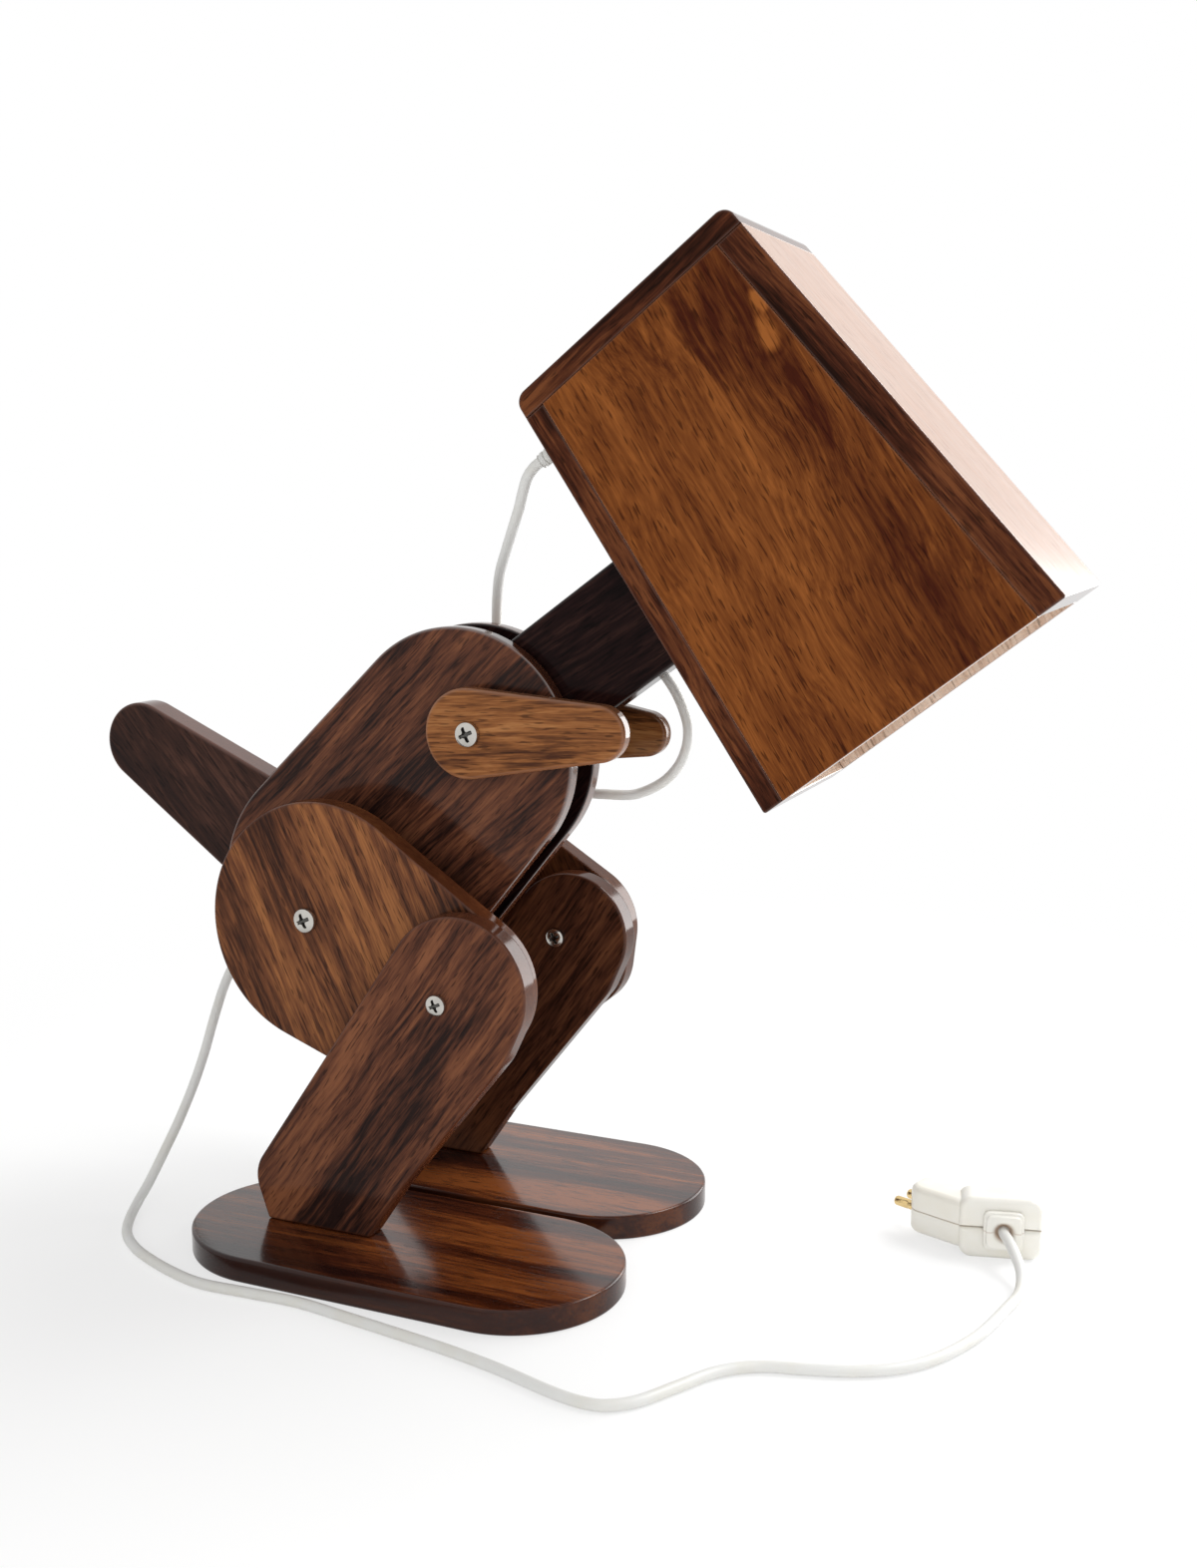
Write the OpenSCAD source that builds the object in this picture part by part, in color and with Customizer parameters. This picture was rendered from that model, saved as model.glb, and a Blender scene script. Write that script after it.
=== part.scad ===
// Dinosaur shaped wooden desk lamp: flat boards on through bolts, a box head that is
// the shade, and a white lead with a two-pin plug. Millimetres, +X forward, +Y the
// lamp's left, +Z up. The origin lies on the table under the middle of the lamp.

/* [Feet and shins] */
// Length of one foot board
foot_l = 219; // [200:1:240]
// Width of one foot board
foot_w = 101; // [92:1:103]
// Thickness of the foot boards
foot_t = 12; // [10:0.5:15]
// Gap between the two feet
feet_gap = 4.6; // [3:0.1:12]
// Thickness of the shin boards
shin_t = 12; // [10:0.5:14]
// Height of the knee bolt above the top of the foot
knee_rise = 118.8; // [110:0.1:130]
// How far the knee bolt lies in front of the foot's middle
knee_fore = 23.8; // [15:0.1:30]
// Radius of the rounded top of the shin
shin_r = 35; // [32:0.5:38]
// Radius of the rounded heel corner of the shin
heel_r = 18; // [14:0.5:20]

/* [Thighs] */
// Distance from the hip bolt to the knee bolt
thigh_l = 82.3; // [78:0.1:90]
// Rise of the thigh from the knee back to the hip, in degrees
thigh_slope = 20.4; // [10:0.1:30]
// Thickness of the thigh boards
thigh_t = 12; // [10:0.5:14]
// Radius of the thigh at the hip
thigh_hip_r = 59.2; // [52:0.1:62]
// Radius of the thigh in front of the knee
thigh_knee_r = 36; // [32:0.5:38]
// How far the wide end of the thigh is centred in front of the hip bolt
thigh_hip_fore = 6.6; // [0:0.1:10]

/* [Body] */
// Distance from the hip bolt to the shoulder bolt
body_l = 120; // [110:0.5:130]
// Lean of the body, degrees above level
body_lean = 49.2; // [40:0.1:60]
// Thickness of the two body boards
body_t = 8; // [6:0.5:10]
// Radius of the hip end of the body
body_hip_r = 66; // [58:0.5:68]
// Radius of the chest end of the body
body_chest_r = 60; // [52:0.5:64]
// Length of the wooden spacer between the body and the right thigh
right_spacer_l = 18; // [14:0.5:22]
// Length of the wooden spacer between the body and the left thigh
left_spacer_l = 49.9; // [45:0.1:55]
// Radius of the hip spacers
spacer_r = 12; // [9:0.5:14]

/* [Neck and tail] */
// Thickness of the neck and tail boards
neck_t = 15; // [12:0.5:18]
// Width of the neck
neck_w = 54; // [46:1:58]
// Distance from the shoulder bolt to the jaw board
neck_l = 111; // [106:0.5:125]
// Slope of the neck above level, degrees
neck_slope = 36; // [30:0.5:42]
// Distance from the hip bolt to the middle of the tail's round tip
tail_l = 143.8; // [125:0.1:155]
// Slope of the tail above level, degrees
tail_slope = 30.3; // [25:0.1:40]
// Radius of the tail's tip
tail_tip_r = 20.5; // [15:0.5:24]
// Radius of the tail round the hip bolt
tail_root_r = 36; // [30:0.5:42]

/* [Arms] */
// Thickness of the arm boards
arm_t = 8; // [6:0.5:10]
// Distance from the shoulder bolt to the tip of an arm
arm_reach = 77.2; // [66:0.1:85]
// Radius of an arm at the shoulder
arm_r = 21.2; // [18:0.1:24]
// Radius of the right arm's tip
right_hand_r = 13; // [11:0.1:18]
// Radius of the left arm's tip
left_hand_r = 10.8; // [9:0.1:16]
// Slope of the right arm above level, degrees
right_arm_slope = 3; // [0:0.1:10]
// Slope of the left arm below level, degrees
left_arm_slope = 2.4; // [0:0.1:10]
// Length of the bush between a body board and an arm
arm_spacer_l = 4.1; // [3:0.1:6]

/* [Head] */
// Length of the box head from back to mouth
head_l = 204; // [190:1:215]
// Height of the head at the back
head_back_h = 118.7; // [112:0.1:125]
// Height of the head at the mouth
head_mouth_h = 149.9; // [140:0.1:155]
// Width of the head
head_w = 100; // [94:1:110]
// Downward tilt of the head, degrees
head_tilt = 51.9; // [48:0.1:56]
// Where the neck meets the jaw board, from its back corner
neck_station = 99; // [85:1:110]
// Thickness of the top board
top_t = 13; // [9:0.5:15]
// Thickness of the back board
back_t = 10; // [8:0.5:12]
// Thickness of the jaw board
jaw_t = 10; // [8:0.5:12]
// Thickness of the side panels
cheek_t = 8; // [6:0.5:10]
// Rounding of the two corners at the back
back_corner_r = 6; // [3:0.5:8]

/* [Lamp holder and bulb] */
// Radius of the holder's foot
holder_foot_r = 24; // [21:0.5:26]
// Outer radius of the holder's skirt
holder_r = 20; // [18.5:0.5:21]
// Length of the holder's skirt
holder_l = 40; // [36:1:46]
// Radius of the bulb's globe
bulb_r = 30; // [25:0.5:32]
// Length of the bulb from its contact to its crown
bulb_l = 106; // [100:1:112]

/* [Bolts and screws] */
// Radius of the hip and shoulder bolts
bolt_r = 3; // [2.5:0.25:4]
// Radius of their pan heads
bolt_head_r = 6; // [5.5:0.25:7.5]
// Radius of the knee bolts
knee_bolt_r = 2.5; // [2:0.25:3]
// Radius of their pan heads
knee_head_r = 5; // [4.5:0.25:6]
// Radius of the wood screws
screw_r = 2; // [1.5:0.25:2.25]

/* [Lead and plug] */
// Diameter of the round lead
lead_d = 5; // [4:0.5:6]
// Length of the tapered strain relief outside the jaw
relief_l = 20; // [20:1:30]
// Radius of the plug's round pins
pin_r = 2.4; // [2:0.1:2.6]
// Length of the plug's pins outside the plug
pin_l = 9; // [7:0.5:12]
// Distance between the two pins
pin_apart = 11; // [9:0.5:12]
// Height of the plug's rear block
plug_h = 30; // [26:1:34]

/* [Fits] */
// Gap between a board that turns and what it turns on
run_gap = 0.1; // [0.05:0.05:0.25]
// Extra radius of a hole over the bolt in it
bore_gap = 0.1; // [0.05:0.01:0.1]
// Thickness of the washers
washer_t = 1; // [0.8:0.1:1.6]
// Easing of the boards' edges
ease = 1.2; // [0.6:0.1:2]

/* [Hidden] */

// Facets of the rounded board outlines
board_fn = 56;

// A point in the XZ plane at a slope and a distance
function polar(a, r) = [r * cos(a), r * sin(a)];
// A 2D point turned by an angle
function turn(p, a) = [p[0] * cos(a) - p[1] * sin(a), p[0] * sin(a) + p[1] * cos(a)];

// The chain of bolts in the XZ plane, from the middle of the feet upwards
knee0 = [knee_fore, foot_t + knee_rise];
hip0 = knee0 + polar(180 - thigh_slope, thigh_l);
shoulder0 = hip0 + polar(body_lean, body_l);
neck_end0 = shoulder0 + polar(neck_slope, neck_l);
// Slope of the head's top and jaw boards against its middle line
taper = atan((head_mouth_h - head_back_h) / 2 / head_l);
neck_in_head = [neck_station * cos(taper), -head_back_h / 2 - neck_station * sin(taper)];
head0 = neck_end0 - turn(neck_in_head, -head_tilt);

// The lamp reaches from the tail's tip to the upper corner of the mouth, and the
// origin lies half way between them
tail_tip0 = hip0 + polar(180 - tail_slope, tail_l);
x_back = min(tail_tip0[0] - tail_tip_r, -foot_l / 2);
x_front = (head0 + turn([head_l, head_mouth_h / 2], -head_tilt))[0];
shift = [-(x_back + x_front) / 2, 0];
foot_c = shift;
knee = knee0 + shift;
hip = hip0 + shift;
shoulder = shoulder0 + shift;
neck_end = neck_end0 + shift;
head = head0 + shift;

// Stack of boards across the lamp, outwards from the middle
half_neck = neck_t / 2;
body_in = half_neck + washer_t + 2 * run_gap;
body_out = body_in + body_t;
arm_in = body_out + arm_spacer_l + 2 * run_gap;
arm_out = arm_in + arm_t;
right_thigh_in = body_out + right_spacer_l + run_gap;
right_thigh_out = right_thigh_in + thigh_t;
right_shin_in = right_thigh_out + washer_t + 2 * run_gap;
left_thigh_in = body_out + left_spacer_l + run_gap;
left_thigh_out = left_thigh_in + thigh_t;
left_shin_out = left_thigh_in - washer_t - 2 * run_gap;

// The left knee bolt lies further forward and up than the right one, from which all
// outlines of both legs are given
left_knee_ahead = [6.5, 4.9];
left_knee = knee + left_knee_ahead;

// Discs that round off the knee end of a thigh, as [x, z, radius]
right_thigh_end = [[2.8, 4.1, thigh_knee_r], [-12, -37, 20.5]];
left_thigh_end = [[9.3, 7.8, thigh_knee_r - 3.8], [12, -8, thigh_knee_r - 8.5],
    [-12, -37, 20.5]];

// Discs that round off the knee end of a shin, and the shank's bend and foot
right_shin_top = [[9, 6.5, shin_r], [14, -12, shin_r - 12.4]];
left_shin_top = [[13.5, 7, shin_r - 3.5], [14, -8, shin_r - 9.9]];
shin_foot_z = foot_t - knee[1];
shank_bend = [-20.3, -92.5];
shank_toe = [-37.5, shin_foot_z];
shank_heel = [-95.5, shin_foot_z];
shank_corner_r = 2;
heel_c = [-83.1, shin_foot_z + heel_r + 3];

// How far an arm's round shoulder end is centred behind its bolt
arm_back = 1.6;

// Wood screws
screw_head_r = 2 * screw_r;
screw_head_t = 2.2;
foot_screw_depth = 22;
foot_screw_x = [-52, -84];
neck_screw_depth = 24;
neck_screw_v = [-14, 14];

// Hardware proportions
head_h_ratio = 0.6;
nut_h_ratio = 5 / 3;
nut_r_ratio = 5.77 / 3;
washer_r_ratio = 2;
recess_w_ratio = 0.2;
recess_l_ratio = 0.62;
recess_h_ratio = 0.5;
thread_end = 2;

// Where the lead leaves the jaw board, from its back corner, and its side place
lead_station = 17;
lead_y = -8;
relief_base_r = 4.5;
relief_flange_r = 6.5;
relief_flange_t = 2;

// Lamp holder and bulb, along the head's middle line
holder_foot_t = 5;
skirt_wall = 2;
socket_r = 13.5;
cap_r = 13;
cap_l = 24;
contact_r = 4;
contact_l = 3;
holder_screw_x = 17;

// The lead's port in the holder's skirt, on the jaw's side
port_y = -5;
port_z = 15;
port_depth = 15.4;

// Plug, set by the point under its collar; its rear block reaches further left of it
plug_at = [212.5, 62];
plug_yaw = 14;
plug_w = 38.5;
plug_left_by = 1.3;
plug_d = 17;
plug_corner = 6;
plug_body_bend = -34;
plug_body_l = 30;
plug_body_d = 20;
plug_body_in = 4;
plug_body_rise = 3;
plug_body_corner = 7;
collar_w = 19;
collar_t = 4.5;
collar_corner = 4;
collar_hole_r = 3.6;
collar_seat = 1;
pin_seat = 5;

// The lead's route: middle line points chosen by hand, on smooth curves between them.
// Inside the head it is given in the head's own frame
holder_route = [[17.6, -8, -52.6], [18.1, -8, -46.5], [20, -7.6, -40.5],
    [24.2, -6.8, -34.4], [28.2, -5.8, -28], [30, -5, -21.5], [30, -5, -15.6]];
head_route = [[10.97, -8, 376], [6.8, -8, 373.2], [2.6, -8, 370.4], [-1.4, -7.4, 365.7],
    [-4.6, -5.6, 359], [-8, -2.6, 352], [-12.8, 1.6, 344.2], [-20.3, 9, 333.2],
    [-28.1, 17, 321.2], [-33.6, 25, 308.8], [-36.5, 30, 296.3], [-37, 32.5, 284],
    [-34, 33.5, 272], [-28, 33.5, 263.5]];
loop_route = [[-19, 33.5, 259.6], [-7, 33.5, 261.5], [6, 34, 267.5], [19, 34.5, 275],
    [31, 35, 280], [41, 36, 279.5], [48.2, 36.5, 274.5], [54.5, 38.5, 264.5],
    [58.4, 40, 253.7], [59.5, 40, 246.6], [58.6, 40, 239.4], [55.6, 40, 232],
    [50.5, 40, 225.4], [44.4, 40, 220.6], [36.7, 40, 216.7], [29.3, 39, 214.8],
    [14.4, 38, 214.5], [-5, 38, 214], [-25, 38.5, 210], [-45, 39.5, 202], [-65, 40, 191],
    [-84, 40, 180.4]];
drop_route = [[-100, 40, 174.7], [-114, 39, 170.3], [-128, 36, 163.5], [-143, 31.5, 155],
    [-158, 26, 144.5], [-172, 19.5, 131], [-182, 13.5, 118], [-187.5, 8, 105],
    [-188.6, -2, 87.6], [-189.7, -10, 70.8], [-191.5, -17.5, 56], [-194.5, -27, 39],
    [-197.6, -37, 24], [-199.1, -47, 12.4], [-198.2, -58, 5.6]];
floor_route = [[-192.5, -72, 2.8], [-183, -85.5, 2.6], [-170, -96, 2.6],
    [-155.5, -103.5, 2.6], [-137, -110.5, 2.6], [-117.5, -115, 2.6], [-92, -114, 2.6],
    [-66.5, -113, 2.6], [-37.6, -116.7, 2.6], [-10.3, -120.5, 2.6], [16, -124.5, 2.6],
    [42, -130, 2.6], [68.6, -137.5, 2.6], [83, -140, 2.6], [94, -138.5, 2.6],
    [104.6, -130, 2.6], [115, -113, 2.6], [125.5, -96, 2.6], [140, -85, 2.6],
    [158, -79.5, 2.6], [176, -73.5, 2.6], [193, -63.5, 2.6], [206.2, -48, 2.6],
    [217.7, -22.5, 2.6], [224.4, 8, 2.6], [226.8, 20, 3], [227, 28, 4.6],
    [225.4, 36.4, 7.6], [221.2, 44.6, 11.4], [216.8, 52, 14.3], [213.7, 57.4, 15],
    [212.85, 60.8, 15]];

// ---------------------------------------------------------------- helpers

// Places children that lie flat, with their middle at a point of the XZ plane and at
// a place across the lamp; their own Z then points to the lamp's right
module upright(p, y) translate([p[0], y, p[1]]) rotate([90, 0, 0]) children();

// The head's own frame: X from back to mouth, Z towards the top board
module in_head() translate([head[0], 0, head[1]]) rotate([0, head_tilt, 0]) children();

// A round board with eased edges, centred in its thickness
module eased_disc(r, t)
    rotate_extrude($fn = board_fn)
        polygon([[0, -t / 2], [r - ease, -t / 2], [r, ease - t / 2], [r, t / 2 - ease],
            [r - ease, t / 2], [0, t / 2]]);

// Eased discs at places that are given as [x, z, radius]
module eased_discs(places, t)
    for (p = places)
        translate([p[0], p[1], 0]) eased_disc(p[2], t);

// A board whose outline goes tightly round two discs
module link_board(a, ra, b, rb, t)
    hull() {
        translate([a[0], a[1], 0]) eased_disc(ra, t);
        translate([b[0], b[1], 0]) eased_disc(rb, t);
    }

// A bolt hole through a board that is centred on its thickness
module bolt_hole(r) cylinder(r = r + bore_gap, h = 200, center = true, $fn = 48);

// A pan head with a cross recess, standing on the XY plane
module pan_head(r) {
    h = head_h_ratio * r;
    difference() {
        rotate_extrude($fn = 48)
            polygon([[0, 0], [r, 0], [r, 0.45 * h], [0.86 * r, 0.78 * h], [0.6 * r, 0.95 * h],
                [0.3 * r, h], [0, h]]);
        for (a = [0, 90])
            rotate([0, 0, a]) translate([0, 0, h])
                cube([2 * recess_l_ratio * r, recess_w_ratio * r, 2 * recess_h_ratio * h],
                    center = true);
    }
}

// A bolt across the lamp: head outside y_from on the right, end at y_to on the left
module cross_bolt(p, r, head_r, y_from, y_to)
    upright(p, 0) {
        translate([0, 0, -y_from]) pan_head(head_r);
        translate([0, 0, -y_to]) cylinder(r = r, h = y_to - y_from, $fn = 48);
    }

// A hex nut with a raised lock ring on its left side, against y_from
module lock_nut(p, r, y_from) {
    h = nut_h_ratio * r;
    upright(p, y_from) difference() {
        translate([0, 0, -h]) union() {
            translate([0, 0, h * 0.2])
                cylinder(r = nut_r_ratio * r, h = h * 0.8, $fn = 6);
            cylinder(r = nut_r_ratio * r * 0.82, h = h * 0.2, $fn = 48);
        }
        bolt_hole(r);
    }
}

// A flat ring on a bolt, its right face at y_from
module ring(p, r_in, r_out, y_from, t)
    upright(p, y_from) translate([0, 0, -t]) difference() {
        cylinder(r = r_out, h = t, $fn = 48);
        translate([0, 0, -1]) cylinder(r = r_in + bore_gap, h = t + 2, $fn = 48);
    }

// A countersunk wood screw, its head's flat at z = 0 and its tip down
module wood_screw(depth)
    difference() {
        rotate_extrude($fn = 32)
            polygon([[0, 0], [screw_head_r, 0], [screw_r, -screw_head_t],
                [screw_r, 3 * screw_r - depth], [0, -depth]]);
        for (a = [0, 90])
            rotate([0, 0, a])
                cube([screw_head_r, 0.35 * screw_r, 1.6], center = true);
    }

// The room that a wood screw takes up
module wood_screw_hole(depth)
    rotate_extrude($fn = 32)
        polygon([[0, 1], [screw_head_r + bore_gap, 1], [screw_head_r + bore_gap, -bore_gap],
            [screw_r + bore_gap, -screw_head_t - bore_gap],
            [screw_r + bore_gap, 3 * screw_r - depth - bore_gap], [0, -depth - bore_gap]]);

// ---------------------------------------------------------------- torso

// Middle of the torso's two rounded ends, seen from the hip bolt
torso_hip_c = turn([5, 5.5], body_lean);
torso_chest_c = turn([body_l - 18.4, 2.5], body_lean);

module torso_plate(y)
    color("#4a2a1c") upright(hip, y) difference() {
        link_board(torso_hip_c, body_hip_r, torso_chest_c, body_chest_r, body_t);
        bolt_hole(bolt_r);
        translate(concat(shoulder - hip, 0)) bolt_hole(bolt_r);
    }

module torso_plate_right() torso_plate(-(body_in + body_out) / 2);
module torso_plate_left() torso_plate((body_in + body_out) / 2);

shoulder_nut_y = arm_out + washer_t + 2 * run_gap;
hip_nut_y = left_thigh_out + washer_t + 2 * run_gap;

module shoulder_bolt()
    color("silver") cross_bolt(shoulder, bolt_r, bolt_head_r, -arm_out - run_gap,
        shoulder_nut_y + nut_h_ratio * bolt_r + thread_end);

module shoulder_nut() color("silver") lock_nut(shoulder, bolt_r, shoulder_nut_y);

// Washers beside the neck and under the shoulder nut
module shoulder_washers()
    color("silver") {
        for (y = [-half_neck - run_gap - washer_t, half_neck + run_gap, arm_out + run_gap])
            ring(shoulder, bolt_r, washer_r_ratio * bolt_r, y, washer_t);
    }

module arm_bush_right()
    color("#3a2016") ring(shoulder, bolt_r, 2.6 * bolt_r, run_gap - arm_in, arm_spacer_l);
module arm_bush_left()
    color("#3a2016") ring(shoulder, bolt_r, 2.6 * bolt_r, body_out + run_gap, arm_spacer_l);

module hip_bolt()
    color("silver") cross_bolt(hip, bolt_r, bolt_head_r, -right_thigh_out - run_gap,
        hip_nut_y + nut_h_ratio * bolt_r + thread_end);

module hip_nut() color("silver") lock_nut(hip, bolt_r, hip_nut_y);

// Washers beside the tail and under the hip nut
module hip_washers()
    color("silver") {
        for (y = [-half_neck - run_gap - washer_t, half_neck + run_gap,
                left_thigh_out + run_gap])
            ring(hip, bolt_r, washer_r_ratio * bolt_r, y, washer_t);
    }

module hip_spacer_right()
    color("#3a2016") ring(hip, bolt_r, spacer_r, -body_out - right_spacer_l, right_spacer_l);
module hip_spacer_left()
    color("#3a2016") ring(hip, bolt_r, spacer_r, body_out, left_spacer_l);

// ---------------------------------------------------------------- neck and head

// Half height of the head's outline, at a distance from its back
function head_half(x) = head_back_h / 2 + x * tan(taper);
// Inner faces of the top and jaw boards there
function roof(x) = head_half(x) - top_t / cos(taper);
function floor_of(x) = -head_half(x) + jaw_t / cos(taper);

// A prism across the head with its outline in the head's XZ plane
module across_head(w) rotate([90, 0, 0]) linear_extrude(w, center = true) children();

// The jaw board's own frame: X along its outer face, -Z out of it
module at_jaw(station)
    in_head() translate([0, 0, -head_back_h / 2]) rotate([0, taper, 0])
        translate([station, 0, 0]) children();

module neck() {
    end_r = ease + 0.3;
    jaw_slope = -head_tilt - taper;
    up = polar(jaw_slope + 180, neck_w / 2 - end_r) + polar(jaw_slope - 90, end_r);
    down = polar(jaw_slope, neck_w / 2 - end_r) + polar(jaw_slope - 90, end_r);
    color("#1f1210") difference() {
        upright(shoulder, 0) hull() {
            eased_disc(neck_w / 2, neck_t);
            translate(neck_end - shoulder + up) eased_disc(end_r, neck_t);
            translate(neck_end - shoulder + down) eased_disc(end_r, neck_t);
        }
        upright(shoulder, 0) bolt_hole(bolt_r);
        neck_screw_places() wood_screw_hole(neck_screw_depth);
    }
}

// The neck's screws go in from the inner face of the jaw board
module neck_screw_places()
    for (v = neck_screw_v)
        at_jaw(neck_station + v) translate([0, 0, jaw_t]) children();

module neck_screws()
    color("silver") neck_screw_places() wood_screw(neck_screw_depth);

module shade_top()
    color("#5a3422") in_head() across_head(head_w)
        polygon([[back_t, roof(back_t)], [head_l, roof(head_l)],
            [head_l, head_half(head_l)], [back_t, head_half(back_t)]]);

module shade_jaw()
    color("#4a2a1c") difference() {
        in_head() across_head(head_w)
            polygon([[back_t, -head_half(back_t)], [head_l, -head_half(head_l)],
                [head_l, floor_of(head_l)], [back_t, floor_of(back_t)]]);
        neck_screw_places() wood_screw_hole(neck_screw_depth);
        at_jaw(lead_station) translate([0, lead_y, -1])
            cylinder(r = relief_base_r + bore_gap, h = jaw_t + 2, $fn = 48);
    }

// The back board covers the ends of the top and jaw boards, and its corners are round
module shade_back() {
    c = [back_corner_r, head_half(back_corner_r) - back_corner_r / cos(taper)];
    t1 = c + back_corner_r * [-sin(taper), cos(taper)];
    color("#4a2a1c") difference() {
        in_head() across_head(head_w) intersection() {
            union() {
                polygon([[back_t, head_half(back_t)], t1, c, [0, c[1]], [0, -c[1]],
                    [c[0], -c[1]], [t1[0], -t1[1]], [back_t, -head_half(back_t)]]);
                for (s = [-1, 1])
                    translate([c[0], s * c[1]]) circle(r = back_corner_r, $fn = 48);
            }
            translate([0, -head_back_h]) square([back_t, 2 * head_back_h]);
        }
        holder_screw_places() wood_screw_hole(back_t + holder_foot_t - 2);
    }
}

module shade_side(y)
    color("#8a5226") in_head() translate([0, y, 0]) across_head(cheek_t)
        polygon([[back_t, floor_of(back_t)], [head_l, floor_of(head_l)],
            [head_l, roof(head_l)], [back_t, roof(back_t)]]);

module shade_side_right() shade_side((cheek_t - head_w) / 2);
module shade_side_left() shade_side((head_w - cheek_t) / 2);

// ---------------------------------------------------------------- lamp holder, bulb

// The holder stands on the back board's inner face, on the head's middle line
module on_back() in_head() translate([back_t, 0, 0]) rotate([0, 90, 0]) children();

module holder_screw_places()
    for (s = [-1, 1])
        on_back() translate([0, s * holder_screw_x, holder_foot_t]) children();

module lamp_holder_foot()
    color("ivory") difference() {
        on_back() rotate_extrude($fn = 64)
            polygon([[0, 0], [holder_foot_r, 0], [holder_foot_r, holder_foot_t - 1],
                [holder_foot_r - 1, holder_foot_t], [0, holder_foot_t]]);
        holder_screw_places() wood_screw_hole(back_t + holder_foot_t - 2);
    }

module holder_screws()
    color("silver") holder_screw_places() wood_screw(back_t + holder_foot_t - 2);

// The skirt stands inside the ring of screws, open towards the mouth, with the
// threaded sleeve's plain bore round the bulb's cap
skirt_r = holder_screw_x - screw_head_r - 0.5;
module lamp_holder_skirt()
    color("ivory") on_back() translate([0, 0, holder_foot_t]) difference() {
        rotate_extrude($fn = 64)
            polygon([[0, 0], [skirt_r, 0], [skirt_r, 5], [holder_r - 1.5, 10],
                [holder_r, 12], [holder_r, holder_l - 1], [holder_r - 1, holder_l],
                [0, holder_l]]);
        translate([0, 0, contact_l + 4]) cylinder(r = socket_r, h = holder_l, $fn = 48);
        translate([0, 0, holder_l - 8])
            cylinder(r = holder_r - skirt_wall, h = holder_l, $fn = 64);
        translate([0, 0, 4 - bore_gap])
            cylinder(r = contact_r + bore_gap, h = holder_l, $fn = 48);
        translate([port_depth, port_y, port_z]) rotate([0, 90, 0])
            cylinder(r = lead_d / 2 + bore_gap, h = holder_r, $fn = 32);
    }

module lamp_holder_contact()
    color("gold") on_back() translate([0, 0, holder_foot_t + 4])
        rotate_extrude($fn = 32)
            polygon([[0, 0], [contact_r, 0], [contact_r, contact_l - 1], [1.5, contact_l],
                [0, contact_l]]);

// Seat of the bulb's contact, from the back board's inner face
bulb_seat = holder_foot_t + 4 + contact_l;

module bulb_cap()
    color("silver") on_back() translate([0, 0, bulb_seat])
        rotate_extrude($fn = 48)
            polygon([[0, 0], [4.5, 0], [6, 2], [cap_r - 2, 4], [cap_r, 5.5], [cap_r, cap_l],
                [0, cap_l]]);

// Globe outline: a neck that swells along a cosine into a round crown
globe_l = bulb_l - cap_l;
crown_z = globe_l - bulb_r;
globe_neck_r = cap_r - 0.5;
function globe_radius(z) = globe_neck_r
    + (bulb_r - globe_neck_r) * (1 - cos(180 * z / crown_z)) / 2;

module bulb_globe()
    color("white") on_back() translate([0, 0, bulb_seat + cap_l]) rotate_extrude($fn = 48)
        polygon(concat([[0, 0]],
            [for (i = [0:6]) [globe_radius(crown_z * i / 6), crown_z * i / 6]],
            [for (i = [1:6]) [bulb_r * cos(15 * i), crown_z + bulb_r * sin(15 * i)]]));

// ---------------------------------------------------------------- tail, arms, legs

module tail()
    color("#3a2018") upright(hip, 0) difference() {
        link_board([0, 0], tail_root_r, polar(180 - tail_slope, tail_l), tail_tip_r, neck_t);
        bolt_hole(bolt_r);
    }

// An arm's round shoulder end lies a little behind its bolt
module arm(y, slope, tip_r)
    color("#6b4226") upright(shoulder, y) difference() {
        link_board(polar(slope, -arm_back), arm_r, polar(slope, arm_reach - tip_r),
            tip_r, arm_t);
        bolt_hole(bolt_r);
    }

module arm_right() arm(-(arm_in + arm_out) / 2, right_arm_slope, right_hand_r);
module arm_left() arm((arm_in + arm_out) / 2, -left_arm_slope, left_hand_r);

module thigh(y, end, bolt_p)
    color("#50301f") upright(knee, y) difference() {
        hull() {
            translate(hip - knee + polar(-thigh_slope, thigh_hip_fore))
                eased_disc(thigh_hip_r, thigh_t);
            eased_discs(end, thigh_t);
        }
        translate(hip - knee) bolt_hole(bolt_r);
        translate(bolt_p) bolt_hole(knee_bolt_r);
    }

module thigh_right()
    thigh(-(right_thigh_in + right_thigh_out) / 2, right_thigh_end, [0, 0]);
module thigh_left()
    thigh((left_thigh_in + left_thigh_out) / 2, left_thigh_end, left_knee_ahead);

// A shin board: a shank with a round top and heel, bent forward over the foot
module shin(y, top, bolt_p)
    color("#472a1d") difference() {
        upright(knee, y) difference() {
            union() {
                hull() {
                    eased_discs(top, shin_t);
                    translate(shank_bend + shank_corner_r * [-1, 0.6])
                        eased_disc(shank_corner_r, shin_t);
                    translate(heel_c) eased_disc(heel_r, shin_t);
                }
                hull() {
                    translate(shank_bend + shank_corner_r * [-1, 0.6])
                        eased_disc(shank_corner_r, shin_t);
                    translate(shank_toe + shank_corner_r * [-1, 1])
                        eased_disc(shank_corner_r, shin_t);
                    translate(shank_heel + shank_corner_r * [1, 1])
                        eased_disc(shank_corner_r, shin_t);
                    translate(heel_c) eased_disc(heel_r, shin_t);
                }
            }
            translate(bolt_p) bolt_hole(knee_bolt_r);
        }
        foot_screw_places(y) wood_screw_hole(foot_screw_depth);
    }

shin_right_y = -right_shin_in - shin_t / 2;
shin_left_y = left_shin_out - shin_t / 2;
module shin_right() shin(shin_right_y, right_shin_top, [0, 0]);
module shin_left() shin(shin_left_y, left_shin_top, left_knee_ahead);

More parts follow.
